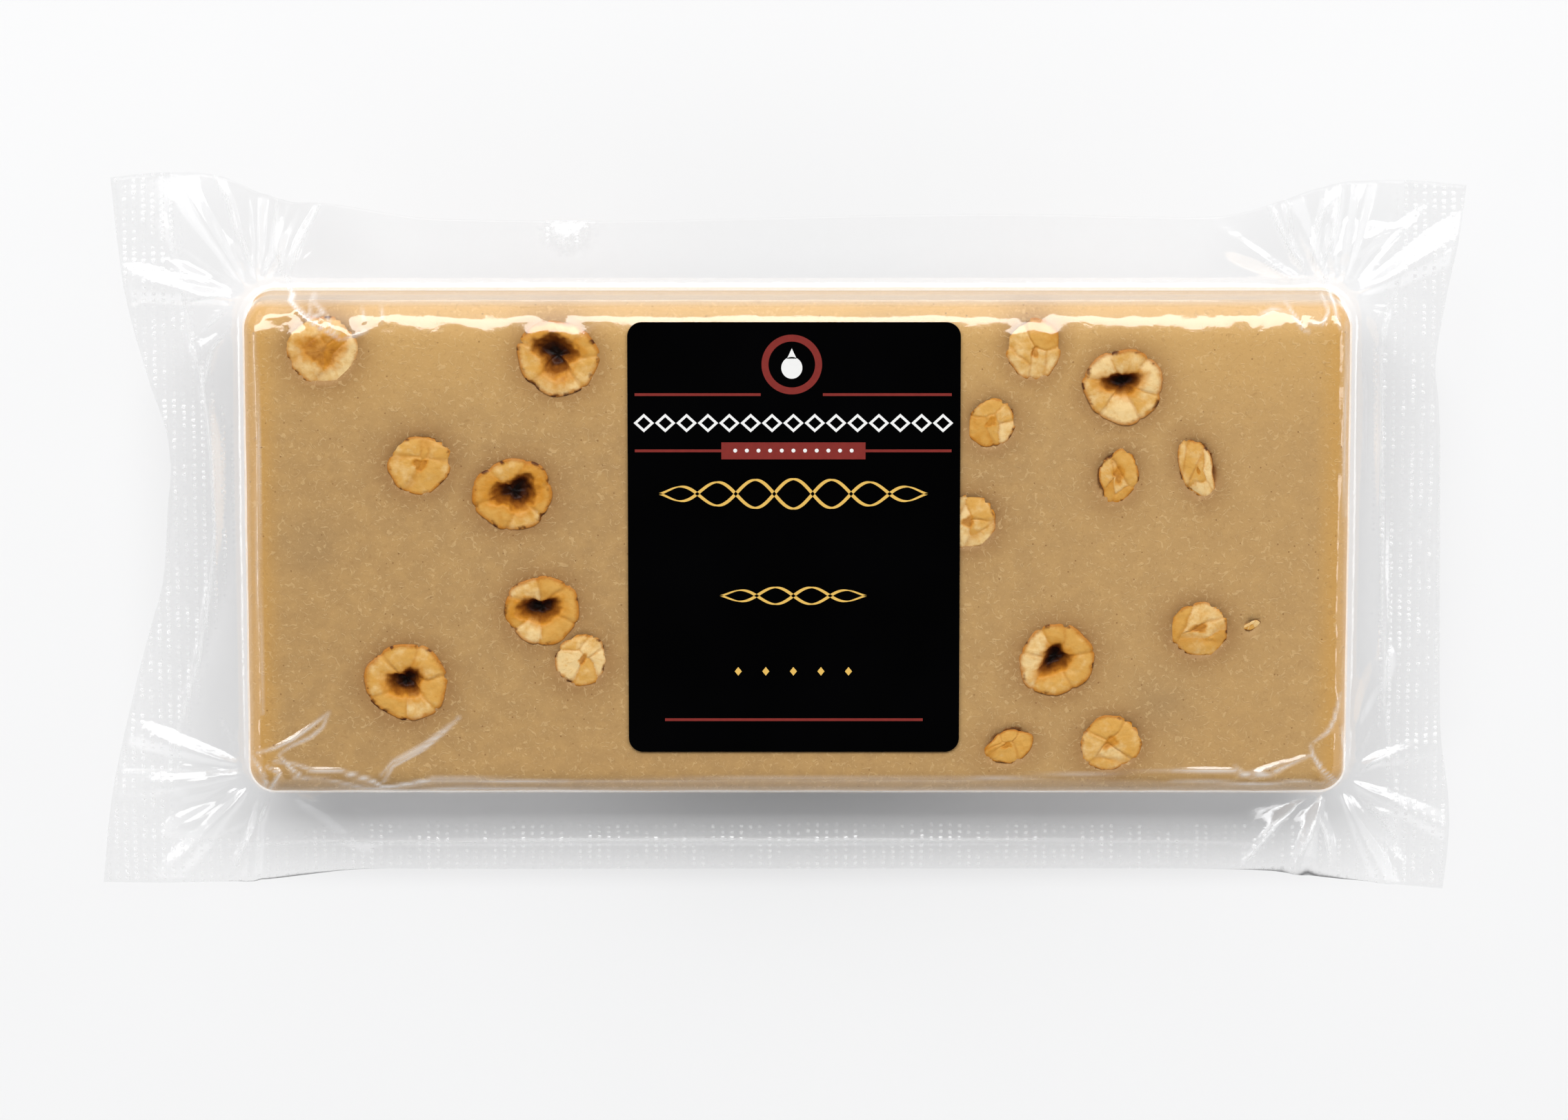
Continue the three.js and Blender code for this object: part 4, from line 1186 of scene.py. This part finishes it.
def disc(ink_mesh, sides, radius, centre, stretch=(1, 1)):
    place = Matrix.Translation((*centre, print_level + INK / 2)) @ Matrix.Diagonal((*stretch, 1, 1))
    bmesh.ops.create_cone(ink_mesh, cap_ends=True, segments=sides, radius1=radius, radius2=radius, depth=INK,
                          matrix=place)


def strand(ink_mesh, x0, x1, middle, swing, waves, phase, width):
    """A wavy ribbon that swells and thins like a pen stroke."""
    place = Matrix.Translation((0, 0, print_level))
    laid = bmesh.ops.create_grid(ink_mesh, x_segments=220, y_segments=1, size=1, matrix=place)["verts"]
    for vert in laid:
        along = (vert.co.x + 1) / 2
        turn = math.tau * waves * along + phase
        swell = math.sin(math.pi * along) ** 0.5
        half = width * (0.35 + 0.65 * abs(math.cos(turn))) * (0.3 + 0.7 * swell) / 2
        centre = middle + swing * swell * math.sin(turn)
        vert.co = x0 + (x1 - x0) * along, centre + half * math.copysign(1, vert.co.y), print_level
    flat = list({face for vert in laid for face in vert.link_faces})
    raised = bmesh.ops.extrude_face_region(ink_mesh, geom=flat)["geom"]
    lifted = [part for part in raised if isinstance(part, bmesh.types.BMVert)]
    bmesh.ops.translate(ink_mesh, verts=lifted, vec=(0, 0, INK))


def printed(name, ink_mesh, light, dark):
    """A piece of print with its own ink, slightly uneven, as on real stock."""
    bmesh.ops.recalc_face_normals(ink_mesh, faces=ink_mesh.faces)
    bmesh.ops.scale(ink_mesh, verts=ink_mesh.verts, vec=(MM, MM, MM))
    data = bpy.data.meshes.new(name)
    ink_mesh.to_mesh(data)
    ink_mesh.free()
    ink = new_finish(name)
    mottled = grain(ink, place_on(ink), 0.9, detail=3)
    close_finish(ink, put(ink, "BsdfPrincipled", {
        "Base Color": blend(ink, mottled, light, dark), "Roughness": 0.35, "Specular IOR Level": 0.3}))
    data.materials.append(ink)
    return add_piece(name, data)


red, white, gold = bmesh.new(), bmesh.new(), bmesh.new()
band_between(red, 64, 5.45, 4.2, (-1, 34.5))
for x0, x1 in ((-29.3, -6.6), (4.6, 27.8)):
    bar(red, x0, x1, 29, 0.5)
for x0, x1 in ((-29.3, -13.7), (12.3, 27.8)):
    bar(red, x0, x1, 18.7, 0.5)
bar(red, -13.7, 12.3, 18.7, 3.1)
bar(red, -24, 22.8, -31, 0.5)
for step in range(15):
    band_between(white, 4, 1.85, 1.18, (-0.7 + (step - 7) * 3.85, 23.8), (1, 0.92))
for step in range(11):
    disc(white, 12, 0.36, (-0.7 + (step - 5) * 2.1, 18.75))
    bmesh.ops.translate(white, verts=white.verts[-24:], vec=(0, 0, INK))
disc(white, 40, 1.9, (-1, 33.9), (1, 1.05))
disc(white, 3, 1.25, (-1, 36.2), (0.8, 1))
for phase in (0, math.pi):
    strand(gold, -25, 23.6, 10.8, 2.7, 3.5, phase, 0.95)
    strand(gold, -14, 12.6, -8, 1.6, 2, phase, 0.7)
for step in range(5):
    disc(gold, 4, 0.8, (-0.7 + (step - 2) * 5, -22), (0.8, 1))
printed("print_red", red, tone(140, 52, 46), tone(122, 44, 40))
printed("print_white", white, tone(246, 246, 244), tone(236, 236, 234))
printed("print_gold", gold, tone(238, 196, 104), tone(222, 178, 88))
